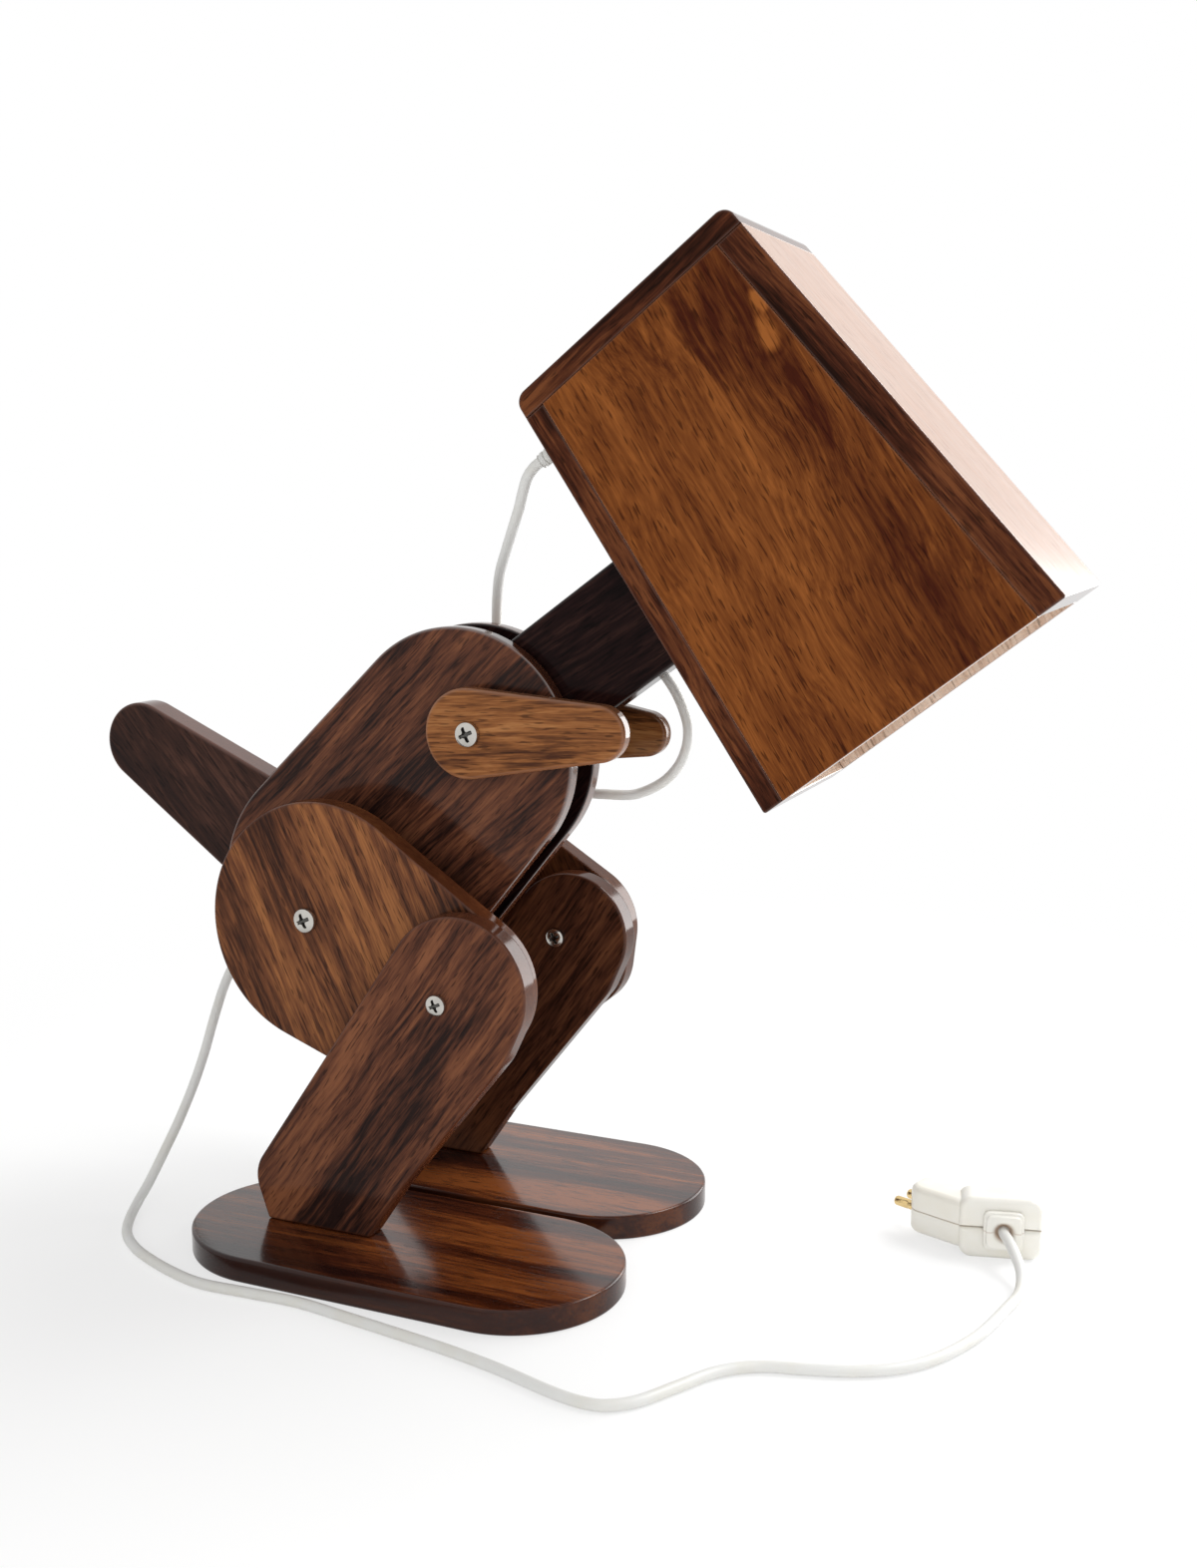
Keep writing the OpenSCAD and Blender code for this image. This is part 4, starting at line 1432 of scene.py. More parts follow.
@dataclass
class Leg:
    """One leg: thigh, shin, foot and knee bolt.

    The discs that round off the boards' ends are given from the right knee bolt.
    """

    builder: Builder
    side: Side
    knee: Flat
    thigh_y: float
    shin_y: float
    washer_y: float
    nut_y: float
    thigh_end: Sequence[Disc]
    shin_top: Sequence[Disc]
    offset: Point
    # Below 1 the thigh's and shin's wood is darkened as painted shade.
    tone: float = 1.0
    thickness: float = 12.0
    ease: float = 1.3
    hip_reach: float = 6.6
    hip_slope: float = -20.4
    hip_radius: float = 59.2
    foot_y: float = 52.8
    foot_half: float = 59.0
    foot_radius: float = 50.5
    bolt_radius: float = 2.5
    head_radius: float = 5.0
    bore: float = 2.6
    washer_t: float = 1.0

    @staticmethod
    def from_knee(discs: Sequence[Disc]) -> list[Disc]:
        """Discs given from the right knee bolt, in the lamp's frame."""
        x, z = BONES.knee
        return [(x + a, z + b, r) for a, b, r in discs]

    def thigh(self) -> None:
        """The thigh board, wide at the hip."""
        word = self.side.word
        wide = Skeleton.offset(BONES.hip, self.hip_reach, 0.0, self.hip_slope)
        outline = belt([(*wide, self.hip_radius), *self.from_knee(self.thigh_end)], 2.5)
        wood = Wood(
            f"figured_thigh_{word}",
            **painted_shade_of(FIGURED, self.tone),
            slope=-64.0,
            offset=self.offset,
            zones=34.0,
            run=7.5,
            edge_coat=0.6,
        )
        placement = Placement.upright(self.thigh_y)
        board = slab(f"thigh_board_{word}", outline, self.thickness, self.ease, placement)
        self.builder.dress(board, wood, f"{word}_thigh", "figured_wood", [f"thigh_{word}"])

    def shin(self) -> None:
        """The shin board, bent a little forward over the foot."""
        word = self.side.word
        top, front = self.shin_top
        sole = self.thickness + 0.02 - BONES.knee[1]
        heel, toe = (-93.5, sole + 2.0, 2.0), (-39.5, sole + 2.0, 2.0)
        shank = [(-83.1, -97.8, 18.0), heel, toe, (-20.3, -92.8, -0.5)]
        outline = belt(self.from_knee([top, *shank, front]), 3.0)
        wood = Wood(
            f"rosewood_shin_{word}",
            **painted_shade_of(ROSEWOOD, self.tone),
            slope=54.0,
            offset=self.offset,
            edge_coat=0.6,
        )
        placement = Placement.upright(self.shin_y)
        board = slab(f"shin_board_{word}", outline, self.thickness, self.ease, placement)
        self.builder.dress(board, wood, f"{word}_lower_leg", "rosewood", [f"shin_{word}"])

    def foot(self) -> None:
        """The foot board, a long slot shape that lies flat."""
        word = self.side.word
        x, y = BONES.foot_x, self.side.value * self.foot_y
        ends = [(x + k * self.foot_half, y, self.foot_radius) for k in (1, -1)]
        middle = (0.0, 0.0, self.thickness / 2)
        placement = Placement(middle, (1.0, 0.0, 0.0), (0.0, 1.0, 0.0), (0.0, 0.0, 1.0))
        wood = Wood(
            f"rosewood_foot_{word}",
            **FOOTWOOD,
            offset=self.offset,
            roughness=0.2,
            coat=0.75,
            edge_coat=0.3,
            gloss=0.1,
            run=5.0,
            contrast=1.4,
            fibre=1.1,
        )
        name = f"foot_board_{word}"
        board = slab(name, belt(ends, 2.5), self.thickness, self.ease, placement)
        self.builder.dress(board, wood, f"{word}_lower_leg", "rosewood", [f"foot_{word}"])

    def bolt(self) -> None:
        """The knee bolt with its nut and washer."""
        word, dress = self.side.word, self.builder.dress
        body = f"{word}_lower_leg"
        head_y = self.shin_y - self.thickness / 2 - 0.1
        bolt = PanBolt(self.knee, self.bolt_radius, self.head_radius, head_y, self.nut_y)
        dress(bolt.head(f"knee_pan_bolt_{word}"), CHROME, body, "chrome", [f"knee_bolt_{word}"])
        dress(bolt.nut(f"knee_lock_nut_{word}"), CHROME, body, "chrome", [f"knee_nut_{word}"])
        size = (self.bore, self.head_radius, self.washer_t)
        ring = washer(f"knee_ring_{word}", self.knee, self.washer_y, *size)
        dress(ring, CHROME, body, "chrome", [f"knee_washer_{word}"])

    def build(self) -> None:
        """Builds the leg."""
        self.thigh()
        self.shin()
        self.foot()
        self.bolt()


@dataclass
class Head:
    """The box head that is the shade, with the neck, the lamp holder and the bulb."""

    builder: Builder
    nodes: dict[str, bpy.types.Object]
    length: float = 204.0
    back: float = 118.7
    mouth: float = 149.9
    width: float = 100.0
    top_t: float = 13.0
    back_t: float = 10.0
    jaw_t: float = 10.0
    cheek_t: float = 8.0
    neck_t: float = 15.0
    neck_half: float = 27.0
    corner: float = 0.3
    nose: float = 1.2
    round_back: float = 6.0
    ease: float = 0.9
    cheek_ease: float = 0.35
    neck_corner: float = 1.5
    neck_ease: float = 1.3
    lead_y: float = -8.0

    def __post_init__(self) -> None:
        """Works out the taper of the top and jaw boards, the head's axes and its inner wood."""
        self.taper = math.atan((self.mouth - self.back) / 2 / self.length)
        a = math.radians(BONES.head_tilt)
        self.along = (math.cos(a), 0.0, -math.sin(a))
        self.up = (math.sin(a), 0.0, math.cos(a))
        self.inner_wood = Wood(
            "shade_inner_wood",
            **PALE_INSIDE,
            slope=-58.0,
            offset=(0.4, 0.4, 0.2),
            contrast=0.6,
            coat=0.0,
        )

    def plane(self, y: float) -> Placement:
        """The head's own XZ plane, at y across the lamp."""
        return Placement((BONES.head[0], y, BONES.head[1]), self.along, self.up, (0.0, -1.0, 0.0))

    def half(self, x: float) -> float:
        """Half the outer height at a distance from the back."""
        return self.back / 2 + x * math.tan(self.taper)

    def roof(self, x: float) -> float:
        """The inner face of the top board."""
        return self.half(x) - self.top_t / math.cos(self.taper)

    def deck(self, x: float) -> float:
        """The inner face of the jaw board."""
        return -self.half(x) + self.jaw_t / math.cos(self.taper)

    def prism(
        self, name: str, corners: Sequence[Disc], y: float, width: float, ease: float
    ) -> bpy.types.Object:
        """A board whose outline lies in the head's plane.

        Args:
            name: the piece's name.
            corners: x, z and rounding of each corner, anticlockwise. The corner itself is
                given, and its disc is set back along the bisector.
            y: the middle across the lamp.
            width: the size across the lamp.
            ease: the radius of its edges.

        Returns:
            The board.
        """
        data = np.array(corners, float)
        p, r = data[:, :2], data[:, 2:]
        before, after = unit(np.roll(p, 1, 0) - p), unit(np.roll(p, -1, 0) - p)
        bisector = unit(before + after)
        cosine = np.sum(before * after, 1, keepdims=True)
        half_angle = np.arccos(np.clip(cosine, -1, 1)) / 2
        centre = p + bisector * r / np.sin(half_angle)
        outline = belt(np.concatenate([centre, r], 1).tolist(), 9.0)
        return slab(name, outline, width, ease, self.plane(y), steps=4)

    def box(self) -> None:
        """The top, back and jaw boards, pale on the inside, and painted pale on top as the glare of
        light on the varnish.
        """
        # Painted glare: a pale wood stands in for the light shining off the top's varnish.
        painted_glare_wood = Wood(
            "shade_top_painted_glare",
            **PAINTED_GLARE_TOP,
            slope=-47.5,
            offset=(0.3, 0.2, 0.3),
            contrast=0.8,
            roughness=0.5,
            coat=0.0,
            edge_coat=0.68,
        )
        rim_wood = Wood("shade_rim_wood", **SHADE, slope=-47.5, offset=(0.9, 0.3, 0.2), coat=0.08)
        back_wood = Wood("shade_back_wood", **SHADE, slope=40.0, offset=(0.6, 0.1, 0.5), coat=0.08)
        jaw_wood = Wood("shade_jaw_wood", **SHADE, slope=-56.0, offset=(0.2, 0.6, 0.4), coat=0.08)
        s, e, h = self.length, self.back_t, self.half
        fine, nose, big = self.corner, self.nose, self.round_back
        top = [(e, self.roof(e), fine), (s, self.roof(s), fine), (s, h(s), nose), (e, h(e), fine)]
        jaw = [(e, -h(e), fine), (s, -h(s), nose), (s, self.deck(s), fine), (e, self.deck(e), fine)]
        back = [(0.0, -h(0.0), big), (e, -h(e), fine), (e, h(e), fine), (0.0, h(0.0), big)]
        down = tuple(-c for c in self.up)
        for word, corners, wood, sides in (
            ("top", top, rim_wood, ((painted_glare_wood, self.up), (self.inner_wood, down))),
            ("jaw", jaw, jaw_wood, ((self.inner_wood, self.up),)),
            ("back", back, back_wood, ()),
        ):
            board = self.prism(f"{word}_board", corners, 0.0, self.width, self.ease)
            self.builder.dress(board, wood, "head", "shade_rosewood", [f"shade_{word}"])
            for finish, way in sides:
                self.builder.face(board, finish, way)

    def cheeks(self) -> None:
        """The two cheek panels, let in between the boards."""
        s, e, fine = self.length, self.back_t, self.corner
        panel = [(e, self.deck(e), fine), (s, self.deck(s), fine)]
        panel += [(s, self.roof(s), fine), (e, self.roof(e), fine)]
        for side, offset, knots in (
            (Side.RIGHT, (0.15, 0.8, 0.05), PANEL_KNOTS),
            (Side.LEFT, (0.5, 0.3, 0.7), ()),
        ):
            wood = Wood(
                f"panel_{side.word}",
                **PANEL,
                slope=-58.0,
                offset=offset,
                streaks=85.0,
                zones=26.0,
                run=7.5,
                wander=1.2,
                contrast=0.52,
                fibre=1.0,
                lift=-0.01,
                coat=0.06,
                knots=knots,
            )
            y = side.value * (self.width - self.cheek_t) / 2
            piece = self.prism(f"cheek_panel_{side.word}", panel, y, self.cheek_t, self.cheek_ease)
            self.builder.dress(piece, wood, "head", "shade_panel", [f"shade_side_{side.word}"])
            self.builder.face(piece, self.inner_wood, (0.0, -side.value, 0.0))

    def neck(self) -> None:
        """The neck board, from the shoulder bolt to the jaw."""
        jaw_slope = -BONES.head_tilt - math.degrees(self.taper)
        corner = self.neck_corner
        out = self.neck_half - corner
        up = Skeleton.offset(BONES.neck_end, -out, -corner, jaw_slope)
        down = Skeleton.offset(BONES.neck_end, out, -corner, jaw_slope)
        discs = [(*BONES.shoulder, self.neck_half), (*down, corner), (*up, corner)]
        wood = Wood(
            "ebony_neck",
            **EBONY,
            slope=34.0,
            offset=(0.4, 0.9, 0.6),
            roughness=0.28,
            coat=0.1,
        )
        placement = Placement.upright(0.0)
        board = slab("neck_board", belt(discs, 3.0), self.neck_t, self.neck_ease, placement)
        self.builder.dress(board, wood, "head", "ebonised_wood", ["neck"])

    def holder_and_bulb(self) -> None:
        """The lamp holder and bulb on the back board's inner face.

        The cap's thread is a cosine wave along its height. The globe's neck widens by half a
        cosine wave to the ball, whose upper half is a quarter circle in profile.
        """
        start = self.plane(0.0).carry((self.back_t, 0.0, 0.0))
        seat = Placement(tuple(start), (0.0, 1.0, 0.0), self.up, self.along)
        foot = [(0, 0), (24, 0), (24, 3.6), (23.4, 4.6), (22.4, 5.0), (0, 5.0)]
        skirt = [(0, 5.05), (12.5, 5.05), (12.5, 10), (18.5, 15), (19.6, 16), (20, 17.4)]
        skirt += [(20, 43.6), (19.4, 44.7), (18.8, 45), (18.2, 44.7), (18, 44), (18, 37)]
        skirt += [(13.5, 37), (13.5, 12.1), (0, 12.0)]
        low, high, middle, wave, pitch = 17.0, 33.0, 12.55, 0.42, 3.6
        turns = np.linspace(low, high, 81)
        thread = zip(middle + wave * np.cos(math.tau * (turns - low) / pitch), turns)
        cap = [(0, 12.0), (4.5, 12.0), (6, 14), (11, 16), *thread]
        cap += [(13.0, 34.5), (13.0, 36.0), (0, 36.0)]
        for name, profile, finish, slot, node in (
            ("holder_foot_disc", foot, HOLDER_WHITE, "holder_white", "lamp_holder_foot"),
            ("holder_skirt_shell", skirt, HOLDER_WHITE, "holder_white", "lamp_holder_skirt"),
            ("bulb_screw_cap", cap, STEEL, "steel", "bulb_cap"),
        ):
            self.builder.dress(lathe(name, profile, seat), finish, "head", slot, [node])
        base, rise, neck, ball = 36.0, 52.0, 12.5, 30.0
        z = np.linspace(0, rise, 24)
        r = neck + (ball - neck) * (1 - np.cos(math.pi * z / rise)) / 2
        a = np.linspace(0, math.pi / 2, 24)[1:]
        dome = zip(ball * np.cos(a), base + rise + ball * np.sin(a))
        globe = [(0.0, base), *zip(r, base + z), *dome]
        piece = lathe("bulb_opal_globe", globe, seat, sides=72, sharp=60.0)
        self.builder.dress(piece, GLOBE, "head", "bulb_glass", ["bulb_globe"])
        self.builder.keep(self.nodes["lamp_holder_contact"], BRASS)
        for name in ("holder_screws", "neck_screws"):
            self.builder.keep(self.nodes[name], STEEL)

    def lead_parts(self) -> None:
        """The strain relief outside the jaw and the lead inside the head."""
        a = math.radians(BONES.head_tilt) + self.taper
        ahead, outward = (math.cos(a), 0.0, -math.sin(a)), (-math.sin(a), 0.0, -math.cos(a))
        corner = self.plane(self.lead_y).carry((0.0, -self.back / 2, 0.0))
        from_back = 17.0
        base = corner + from_back * np.array(ahead)
        place = Placement(tuple(base), (0.0, 1.0, 0.0), ahead, outward)
        bore, flange, body, tall, pitch, deep = 2.6, 6.5, 4.5, 20.0, 2.6, 0.7
        rows = [(bore, -12.0), (flange, -12.0), (flange, -10.4), (body, -10.0), (body, 0.6)]
        for height in (1.4 + pitch * k for k in range(7)):
            outer = body - 1.1 * height / tall
            rows += [(outer, height), (outer, height + 1.3)]
            rows += [(outer - deep, height + 1.5), (outer - deep, height + 2.4)]
        rows += [(3.4, tall - 0.2), (bore, tall)]
        piece = lathe("ribbed_cord_relief", rows, place, 40)
        self.builder.dress(piece, LEAD_WHITE, "head", "white_lead", ["cord_relief"])
        # Along the head, across it and above its middle.
        route = [(17.6, -8, -52.6), (18.1, -8, -46.5), (20, -7.6, -40.5), (24.2, -6.8, -34.4)]
        route += [(28.2, -5.8, -28), (30, -5, -21.5), (30, -5, -15.6)]
        along, across, above = through(route, 5).T
        path = self.plane(0.0).carry(np.stack([along, above, -across], -1))
        piece = tube("holder_lead_tube", path, 2.5)
        self.builder.dress(piece, LEAD_WHITE, "head", "white_lead", ["holder_lead"])

    def build(self) -> None:
        """Builds the head."""
        self.box()
        self.cheeks()
        self.neck()
        self.holder_and_bulb()
        self.lead_parts()


@dataclass
class SupplyLead:
    """The white lead from the head to the plug, one round cord."""

    builder: Builder
    diameter: float = 5.0
    length: float = 1.27
    route: list[Point] = field(
        default_factory=lambda: [
            (10.97, -8, 376), (6.8, -8, 373.2), (2.6, -8, 370.4), (-1.4, -7.4, 365.7),
            (-4.6, -5.6, 359), (-8, -2.6, 352), (-12.8, 1.6, 344.2), (-20.3, 9, 333.2),
            (-28.1, 17, 321.2), (-33.6, 25, 308.8), (-36.5, 30, 296.3), (-37, 32.5, 284),
            (-34, 33.5, 272), (-28, 33.5, 263.5), (-19, 33.5, 259.6), (-7, 33.5, 261.5),
            (6, 34, 267.5), (19, 34.5, 275), (31, 35, 280), (41, 36, 279.5),
            (48.2, 36.5, 274.5), (54.5, 38.5, 264.5), (58.4, 40, 253.7), (59.5, 40, 246.6),
            (58.6, 40, 239.4), (55.6, 40, 232), (50.5, 40, 225.4), (44.4, 40, 220.6),
            (36.7, 40, 216.7), (29.3, 39, 214.8), (14.4, 38, 214.5), (-5, 38, 214),
            (-25, 38.5, 210), (-45, 39.5, 202), (-65, 40, 191), (-84, 40, 180.4),
            (-100, 40, 174.7), (-114, 39, 170.3), (-128, 36, 163.5), (-143, 31.5, 155),
            (-158, 26, 144.5), (-172, 19.5, 131), (-182, 13.5, 118), (-187.5, 8, 105),
            (-188.6, -2, 87.6), (-189.7, -10, 70.8), (-191.5, -17.5, 56), (-194.5, -27, 39),
            (-197.6, -37, 24), (-199.1, -47, 12.4), (-198.2, -58, 5.6), (-192.5, -72, 2.8),
            (-183, -85.5, 2.6), (-170, -96, 2.6), (-155.5, -103.5, 2.6), (-137, -110.5, 2.6),
            (-117.5, -115, 2.6), (-92, -114, 2.6), (-66.5, -113, 2.6), (-37.6, -116.7, 2.6),
            (-10.3, -120.5, 2.6), (16, -124.5, 2.6), (42, -130, 2.6), (68.6, -137.5, 2.6),
            (83, -140, 2.6), (94, -138.5, 2.6), (104.6, -130, 2.6), (115, -113, 2.6),
            (125.5, -96, 2.6), (140, -85, 2.6), (158, -79.5, 2.6), (176, -73.5, 2.6),
            (193, -63.5, 2.6), (206.2, -48, 2.6), (217.7, -22.5, 2.6), (224.4, 8, 2.6),
            (226.8, 20, 3), (227, 28, 4.6), (225.4, 36.4, 7.6), (221.2, 44.6, 11.4),
            (216.8, 52, 14.3), (213.7, 57.4, 15), (212.85, 60.8, 15),
        ]
    )

    def build(self, plug: Sequence[bpy.types.Object]) -> None:
        """Args:
            plug: the pieces at its far end; not used.
        """
        path = through(self.route, 6)
        piece = tube("supply_cord", path, self.diameter / 2, 20)
        nodes = ["cord_head", "cord_loop", "cord_drop", "cord_floor"]
        self.builder.dress(piece, LEAD_WHITE, None, "white_lead", nodes)
        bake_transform(piece)


@dataclass
class Plug:
    """The white two-pin plug at the lead's end.

    Its rear block faces the lead and its body goes off to the left, at an angle.
    """

    builder: Builder
    at: Flat = (212.5, 62.0)
    yaw: float = 14.0
    bend: float = -34.0
    width: float = 38.5
    depth: float = 17.0
    height: float = 30.0
    off: float = 1.3
    body_length: float = 30.0
    body_depth: float = 20.0
    body_in: float = 4.0
    rise: float = 3.0
    pin_radius: float = 2.4
    pin_length: float = 9.0
    pins_apart: float = 11.0
    seam: float = 0.12

    @staticmethod
    def level_axes(angle: float) -> tuple[Array, Array]:
        """Two level axes that are turned by an angle in radians."""
        c, s = math.cos(angle), math.sin(angle)
        return np.array([c, s, 0]), np.array([-s, c, 0])

    def axes(self, x: float, y: float, on_body: bool) -> tuple[Array, Array, Array]:
        """A place in the block's or the body's own frame, with that frame's axes.

        Args:
            x: the distance along the block's face, or along the body.
            y: the distance into the plug.
            on_body: whether the place is given in the body's frame.

        Returns:
            The place at the block's middle height, and the two level axes.
        """
        origin = np.array([*self.at, self.height / 2])
        angle = math.radians(self.yaw)
        along, into = self.level_axes(angle)
        if on_body:
            origin = origin + (-self.width / 2 - self.off) * along + 2.0 * into
            along, into = self.level_axes(angle + math.radians(self.bend))
        return origin + x * along + y * into, along, into

    def block(self) -> list[bpy.types.Object]:
        """The two halves of the rear block, with round edges and a fine seam.

        Returns:
            The halves.
        """
        middle, along, into = self.axes(-self.off, self.depth / 2, False)
        place = Placement(tuple(middle), tuple(along), (0.0, 0.0, 1.0), tuple(-into))
        wide, high, big, small = self.width / 2, self.height / 2, 6.0, 0.3
        made = []
        for sign, word in ((-1, "lower"), (1, "upper")):
            discs = [(k * (wide - small), self.seam + small, small) for k in (-1, 1)]
            discs += [(k * (wide - big), high - big, big) for k in (1, -1)]
            if sign < 0:
                discs = [(x, -z, r) for x, z, r in reversed(discs)]
            piece = slab(f"plug_block_{word}", belt(discs, 6.0), self.depth, 2.2, place, 8)
            self.builder.dress(piece, PLUG_WHITE, "torso", "white_plug", [f"plug_{word}_half"])
            made.append(piece)
        return made

    def body(self) -> bpy.types.Object:
        """The narrow body, whose edge profile has soft shoulders and the same seam.

        Returns:
            The body.
        """
        x = (self.body_in - self.body_length) / 2
        middle, along, into = self.axes(x, self.body_depth / 2, True)
        place = Placement(tuple(middle), tuple(along), tuple(into), (0.0, 0.0, 1.0))
        wide, deep = (self.body_length + self.body_in) / 2, self.body_depth / 2
        high, big, shoulder = self.height / 2 - self.rise, 7.0, 3.5
        corners = [(-1, -1), (1, -1), (1, 1), (-1, 1)]
        outline = belt([(i * (wide - big), j * (deep - big), big) for i, j in corners], 6.0)
        angle = np.linspace(0, math.pi / 2, 7)
        inset, fall = shoulder * (1 - np.sin(angle)), shoulder * (1 - np.cos(angle))
        low = [(shoulder + 1.5, -high), *zip(inset, -high + fall)]
        low += [(0.0, -2 * self.seam), (0.5, -self.seam)]
        profile = low + [(inset, -height) for inset, height in reversed(low)]
        piece = stack("plug_side_body", outline, profile, place, 0.01)
        return self.builder.dress(piece, PLUG_WHITE, "torso", "white_plug")

    def collar(self) -> bpy.types.Object:
        """The stepped collar with the lead's hole.

        Every ring is a superellipse of half width a and exponent n: at the angle t its
        radius is a / (|cos t| ** n + |sin t| ** n) ** (1 / n), round for n = 2.

        Returns:
            The collar.
        """
        start, along, into = self.axes(0.0, 0.0, False)
        place = Placement(tuple(start), tuple(along), (0.0, 0.0, 1.0), tuple(-into))
        # Half width, exponent and height.
        rows = [(9.2, 7.0, -0.2), (9.5, 7.0, 0.3), (9.5, 7.0, 2.3), (9.2, 7.0, 2.7)]
        rows += [(8.5, 6.5, 2.8), (8.3, 6.5, 3.0), (8.2, 6.5, 4.0), (7.9, 6.0, 4.4)]
        rows += [(7.3, 5.0, 4.5), (6.2, 3.2, 4.45), (5.4, 2.3, 4.2), (4.6, 2.0, 3.6)]
        rows += [(4.1, 2.0, 2.9), (3.6, 2.0, 2.6), (3.6, 2.0, 1.1), (0.01, 2.0, 1.0)]
        half, power, height = np.hsplit(np.array(rows), 3)
        angle = around(96)
        bulge = np.abs(np.cos(angle)) ** power + np.abs(np.sin(angle)) ** power
        radius = half / bulge ** (1 / power)
        rings = turned(radius, height, angle)
        # Painted shade: the lead's hole is marked to be darkened.
        inner = np.clip(4.9 - half, 0, 1) * np.ones(len(angle))
        piece = Meshes.rings("plug_lead_collar", place.carry(rings), 40.0, {"recess_shade": inner})
        return self.builder.dress(piece, PLUG_WHITE, "torso", "white_plug", ["plug_collar"])

    def pins(self) -> list[bpy.types.Object]:
        """The two round pins, each with a shoulder and a round nose.

        Returns:
            The pins.
        """
        made = []
        r, length, tip, sunk = self.pin_radius, self.pin_length, 1.6, 5.0
        bend = np.linspace(0, math.pi / 2, 7)
        nose = zip(r * np.cos(bend), length - tip + tip * np.sin(bend))
        rows = [(0, -sunk), (r, -sunk), (r, 0.2), (r - 0.15, 0.5), (r - 0.15, 0.9), (r, 1.2)]
        rows += nose
        for sign, word in ((-1, "near"), (1, "far")):
            y = self.body_depth / 2 + sign * self.pins_apart / 2
            start, along, into = self.axes(-self.body_length, y, True)
            place = Placement(tuple(start), tuple(into), (0.0, 0.0, 1.0), tuple(-along))
            piece = lathe(f"plug_pin_{word}", rows, place, 40)
            nodes = ["plug_pins"] if sign < 0 else []
            made.append(self.builder.dress(piece, BRASS, "torso", "brass", nodes))
        return made

    def build(self) -> list[bpy.types.Object]:
        """Builds the plug.

        Returns:
            Its pieces.
        """
        return [*self.block(), self.body(), self.collar(), *self.pins()]


# ------------------------------------------------------------------ studio


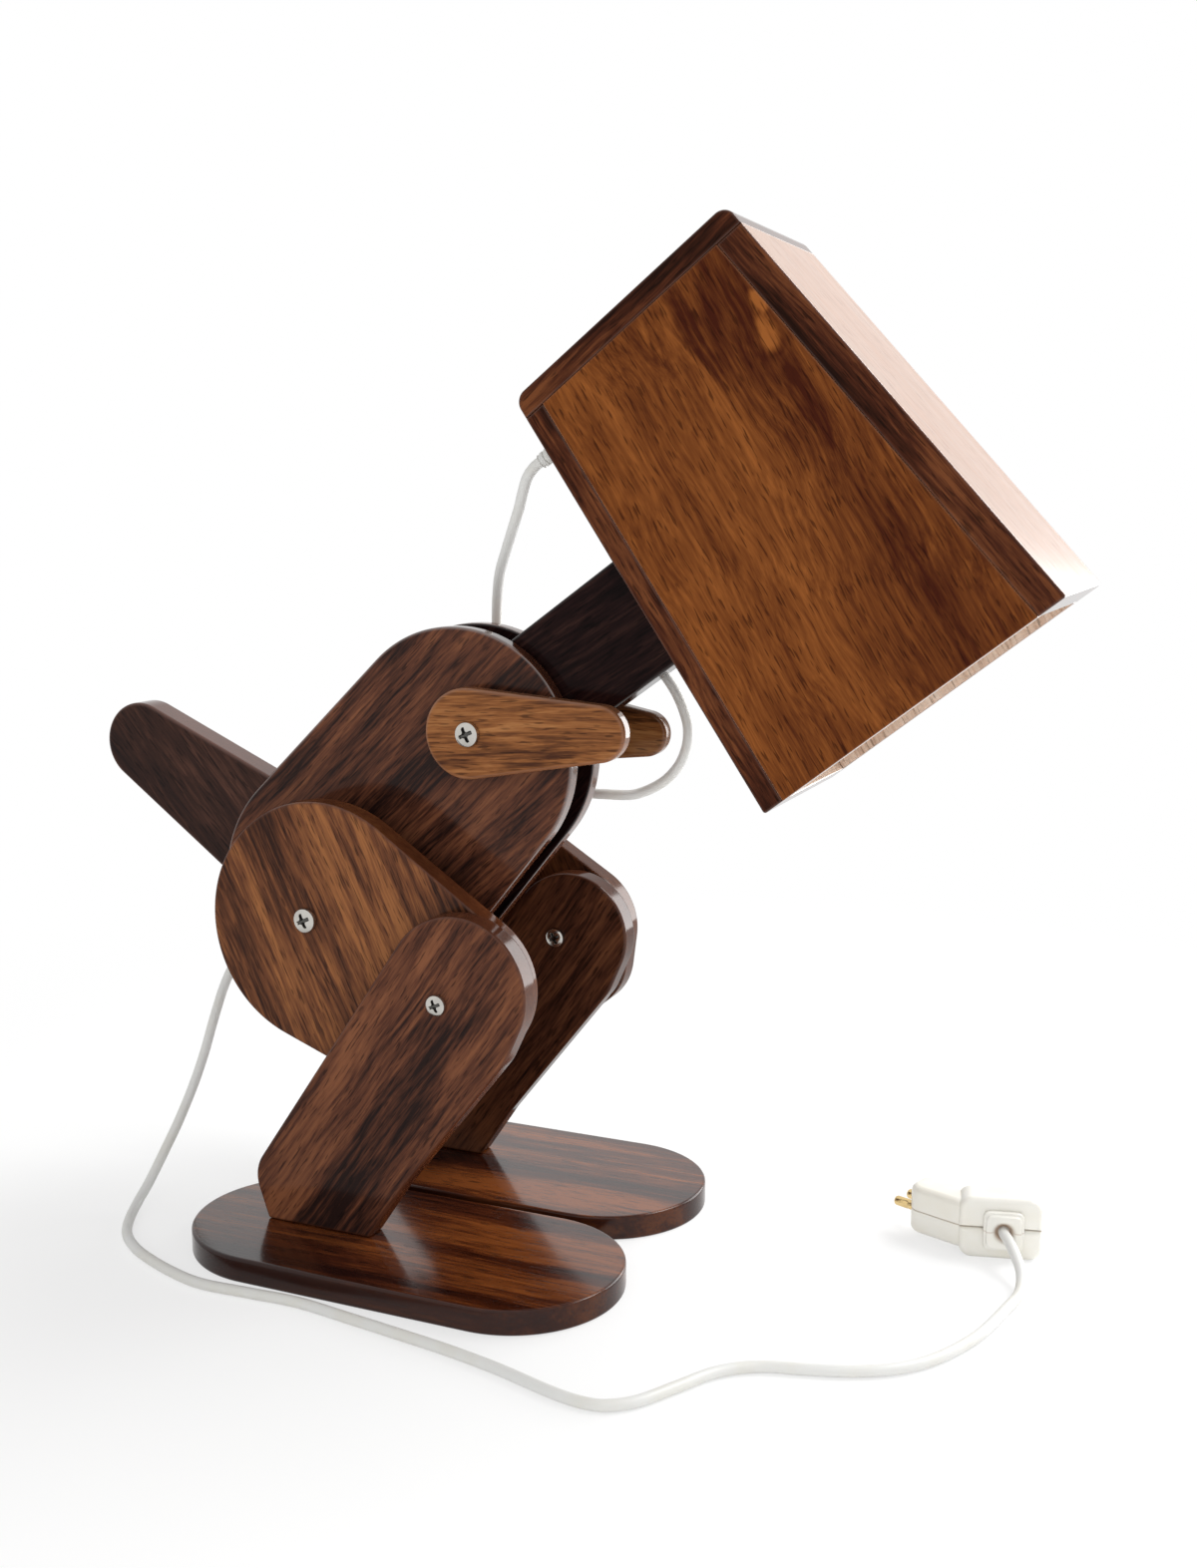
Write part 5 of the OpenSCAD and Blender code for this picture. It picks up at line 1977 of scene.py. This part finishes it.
@dataclass
class Studio:
    """Camera, floor, world and lamps."""

    eye: Point = (0.3416, -0.7136, 0.3579)
    back: Point = (0.39406, -0.90385, 0.16667)
    right: Point = (0.91667, 0.39965, 0.0)
    up: Point = (-0.06661, 0.15278, 0.98602)
    lens: float = 39.25
    sensor: float = 36.0
    world_level: float = 0.55
    floor_reach: float = 2.6
    floor_drop: float = 0.00005

    @staticmethod
    def stand(made: bpy.types.Object, axes: Sequence[Sequence[float]], place: Point) -> None:
        """Puts a camera or lamp into the scene.

        Args:
            made: the object.
            axes: its own X, Y and Z axes.
            place: where it stands, in metres.
        """
        matrix = np.eye(4)
        matrix[:3, :3] = np.array(axes).T
        matrix[:3, 3] = place
        made.matrix_world = Matrix(matrix.tolist())
        bpy.context.scene.collection.objects.link(made)

    def camera(self) -> None:
        """Sets the camera at the photograph's viewpoint."""
        data = bpy.data.cameras.new("photo_view")
        data.lens = self.lens
        data.sensor_width = self.sensor
        data.clip_start = 0.01
        made = bpy.data.objects.new("photo_view", data)
        self.stand(made, (self.right, self.up, self.back), self.eye)
        bpy.context.scene.camera = made

    def seen(self, paint: Paint) -> Signal:
        """Tells which rays see the background.

        Args:
            paint: the material or world.

        Returns:
            1 for rays from the camera, mirrors and glass, and 0 for the rest.
        """
        rays = paint.add("ShaderNodeLightPath").outputs
        names = ("Is Camera Ray", "Is Glossy Ray", "Is Transmission Ray")
        camera, glossy, clear = (Signal(paint, rays[name]) for name in names)
        return camera.largest(glossy).largest(clear)

    def world(self) -> None:
        """A white world that the camera sees as plain white, and that lights the object less."""
        world = bpy.data.worlds.new("studio_white")
        bpy.context.scene.world = world
        paint = Paint(world)
        strength = self.seen(paint) * (1.0 - self.world_level) + self.world_level
        back = paint.node("ShaderNodeBackground", inputs=[WHITE, strength])
        paint.show(back, "ShaderNodeOutputWorld")

    def floor(self) -> None:
        """A pale floor whose shadow fades into white away from the lamp."""
        line = np.array([-self.floor_reach, self.floor_reach])
        x, y = np.meshgrid(line, line)
        points = np.stack([x, y, 0 * x - self.floor_drop], -1) / MM
        floor = Meshes.make("studio_floor", points.reshape(-1, 3), [[0, 1, 3, 2]])
        paint = Paint.material("studio_floor")
        fade = paint.length(paint.place()).step(0.2, 0.75)
        share = self.seen(paint) * (fade * 0.37 + 0.63)
        diffuse = paint.node("ShaderNodeBsdfDiffuse", inputs=[(0.95, 0.95, 0.945, 1.0)])
        white = paint.node("ShaderNodeEmission", inputs=[WHITE, 1.0])
        paint.show(paint.node("ShaderNodeMixShader", inputs=[share, diffuse, white]))
        floor.data.materials.append(paint.owner)

    def lamp(
        self,
        name: str,
        place: Point,
        aim: Point,
        size: float,
        power: float,
        mirrored: bool = True,
    ) -> None:
        """A square soft lamp.

        Args:
            name: its name.
            place: where it stands, in metres.
            aim: the point it faces.
            size: its width.
            power: its power in watts.
            mirrored: whether varnish and metal show it.
        """
        data = bpy.data.lights.new(name, "AREA")
        data.shape = "SQUARE"
        data.size = size
        data.energy = power
        made = bpy.data.objects.new(name, data)
        z = unit(np.array(place) - np.array(aim))
        x = unit(np.cross((0.0, 0.0, 1.0), z))
        made.visible_glossy = mirrored
        made.visible_camera = False
        self.stand(made, (x, np.cross(z, x), z), place)

    def build(self) -> None:
        """Sets world, floor and lamps."""
        self.world()
        self.floor()
        self.lamp("key_top_back", (0.95, 0.6, 1.5), (0.0, 0.0, 0.25), 0.8, 22.0)
        self.lamp("rim_back_right", (0.62, 0.9, 0.37), (0.0, 0.0, 0.25), 0.72, 9.0)
        self.lamp("fill_front", (0.45, -1.9, 0.8), (0.0, 0.0, 0.2), 1.4, 12.0, mirrored=False)
        bpy.context.scene.view_settings.view_transform = "Standard"


def main() -> None:
    """Builds the lamp's looks in order."""
    logging.basicConfig(level=logging.INFO, format="%(name)s: %(message)s")
    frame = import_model()
    nodes = frame["nodes"]
    studio = Studio()
    studio.camera()
    builder = Builder(Finishes())
    plug = Plug(builder).build()
    SupplyLead(builder).build(plug)
    Torso(builder).build()
    Tail(builder).build()
    Arm(builder, Side.RIGHT, 64.2, 13.0, 3.0, (0.1, 0.3, 0.6)).build()
    # The far arm is painted darker, as shade.
    Arm(builder, Side.LEFT, 66.4, 10.8, -2.4, (0.7, 0.5, 0.2), tone=0.6).build()
    Leg(
        builder,
        Side.RIGHT,
        BONES.knee,
        thigh_y=-40.8,
        shin_y=-54.1,
        washer_y=-47.9,
        nut_y=-34.7,
        thigh_end=[(-12.0, -37.0, 20.5), (2.8, 4.1, 36.0)],
        shin_top=[(9.0, 6.5, 35.0), (14.0, -12.0, 22.6)],
        offset=(0.35, 0.1, 0.9),
    ).build()
    Leg(
        builder,
        Side.LEFT,
        BONES.left_knee,
        thigh_y=72.7,
        shin_y=59.4,
        washer_y=65.5,
        nut_y=78.8,
        thigh_end=[(-12.0, -37.0, 20.5), (12.0, -8.0, 27.5), (9.3, 7.8, 32.2)],
        shin_top=[(13.5, 7.0, 31.5), (14.0, -8.0, 25.1)],
        offset=(0.8, 0.6, 0.1),
        # The far leg is painted darker, as shade.
        tone=0.6,
    ).build()
    Head(builder, nodes).build()
    for name in ("foot_screws_right", "foot_screws_left"):
        builder.keep(nodes[name], STEEL)
    studio.build()


if __name__ == "__main__":
    main()
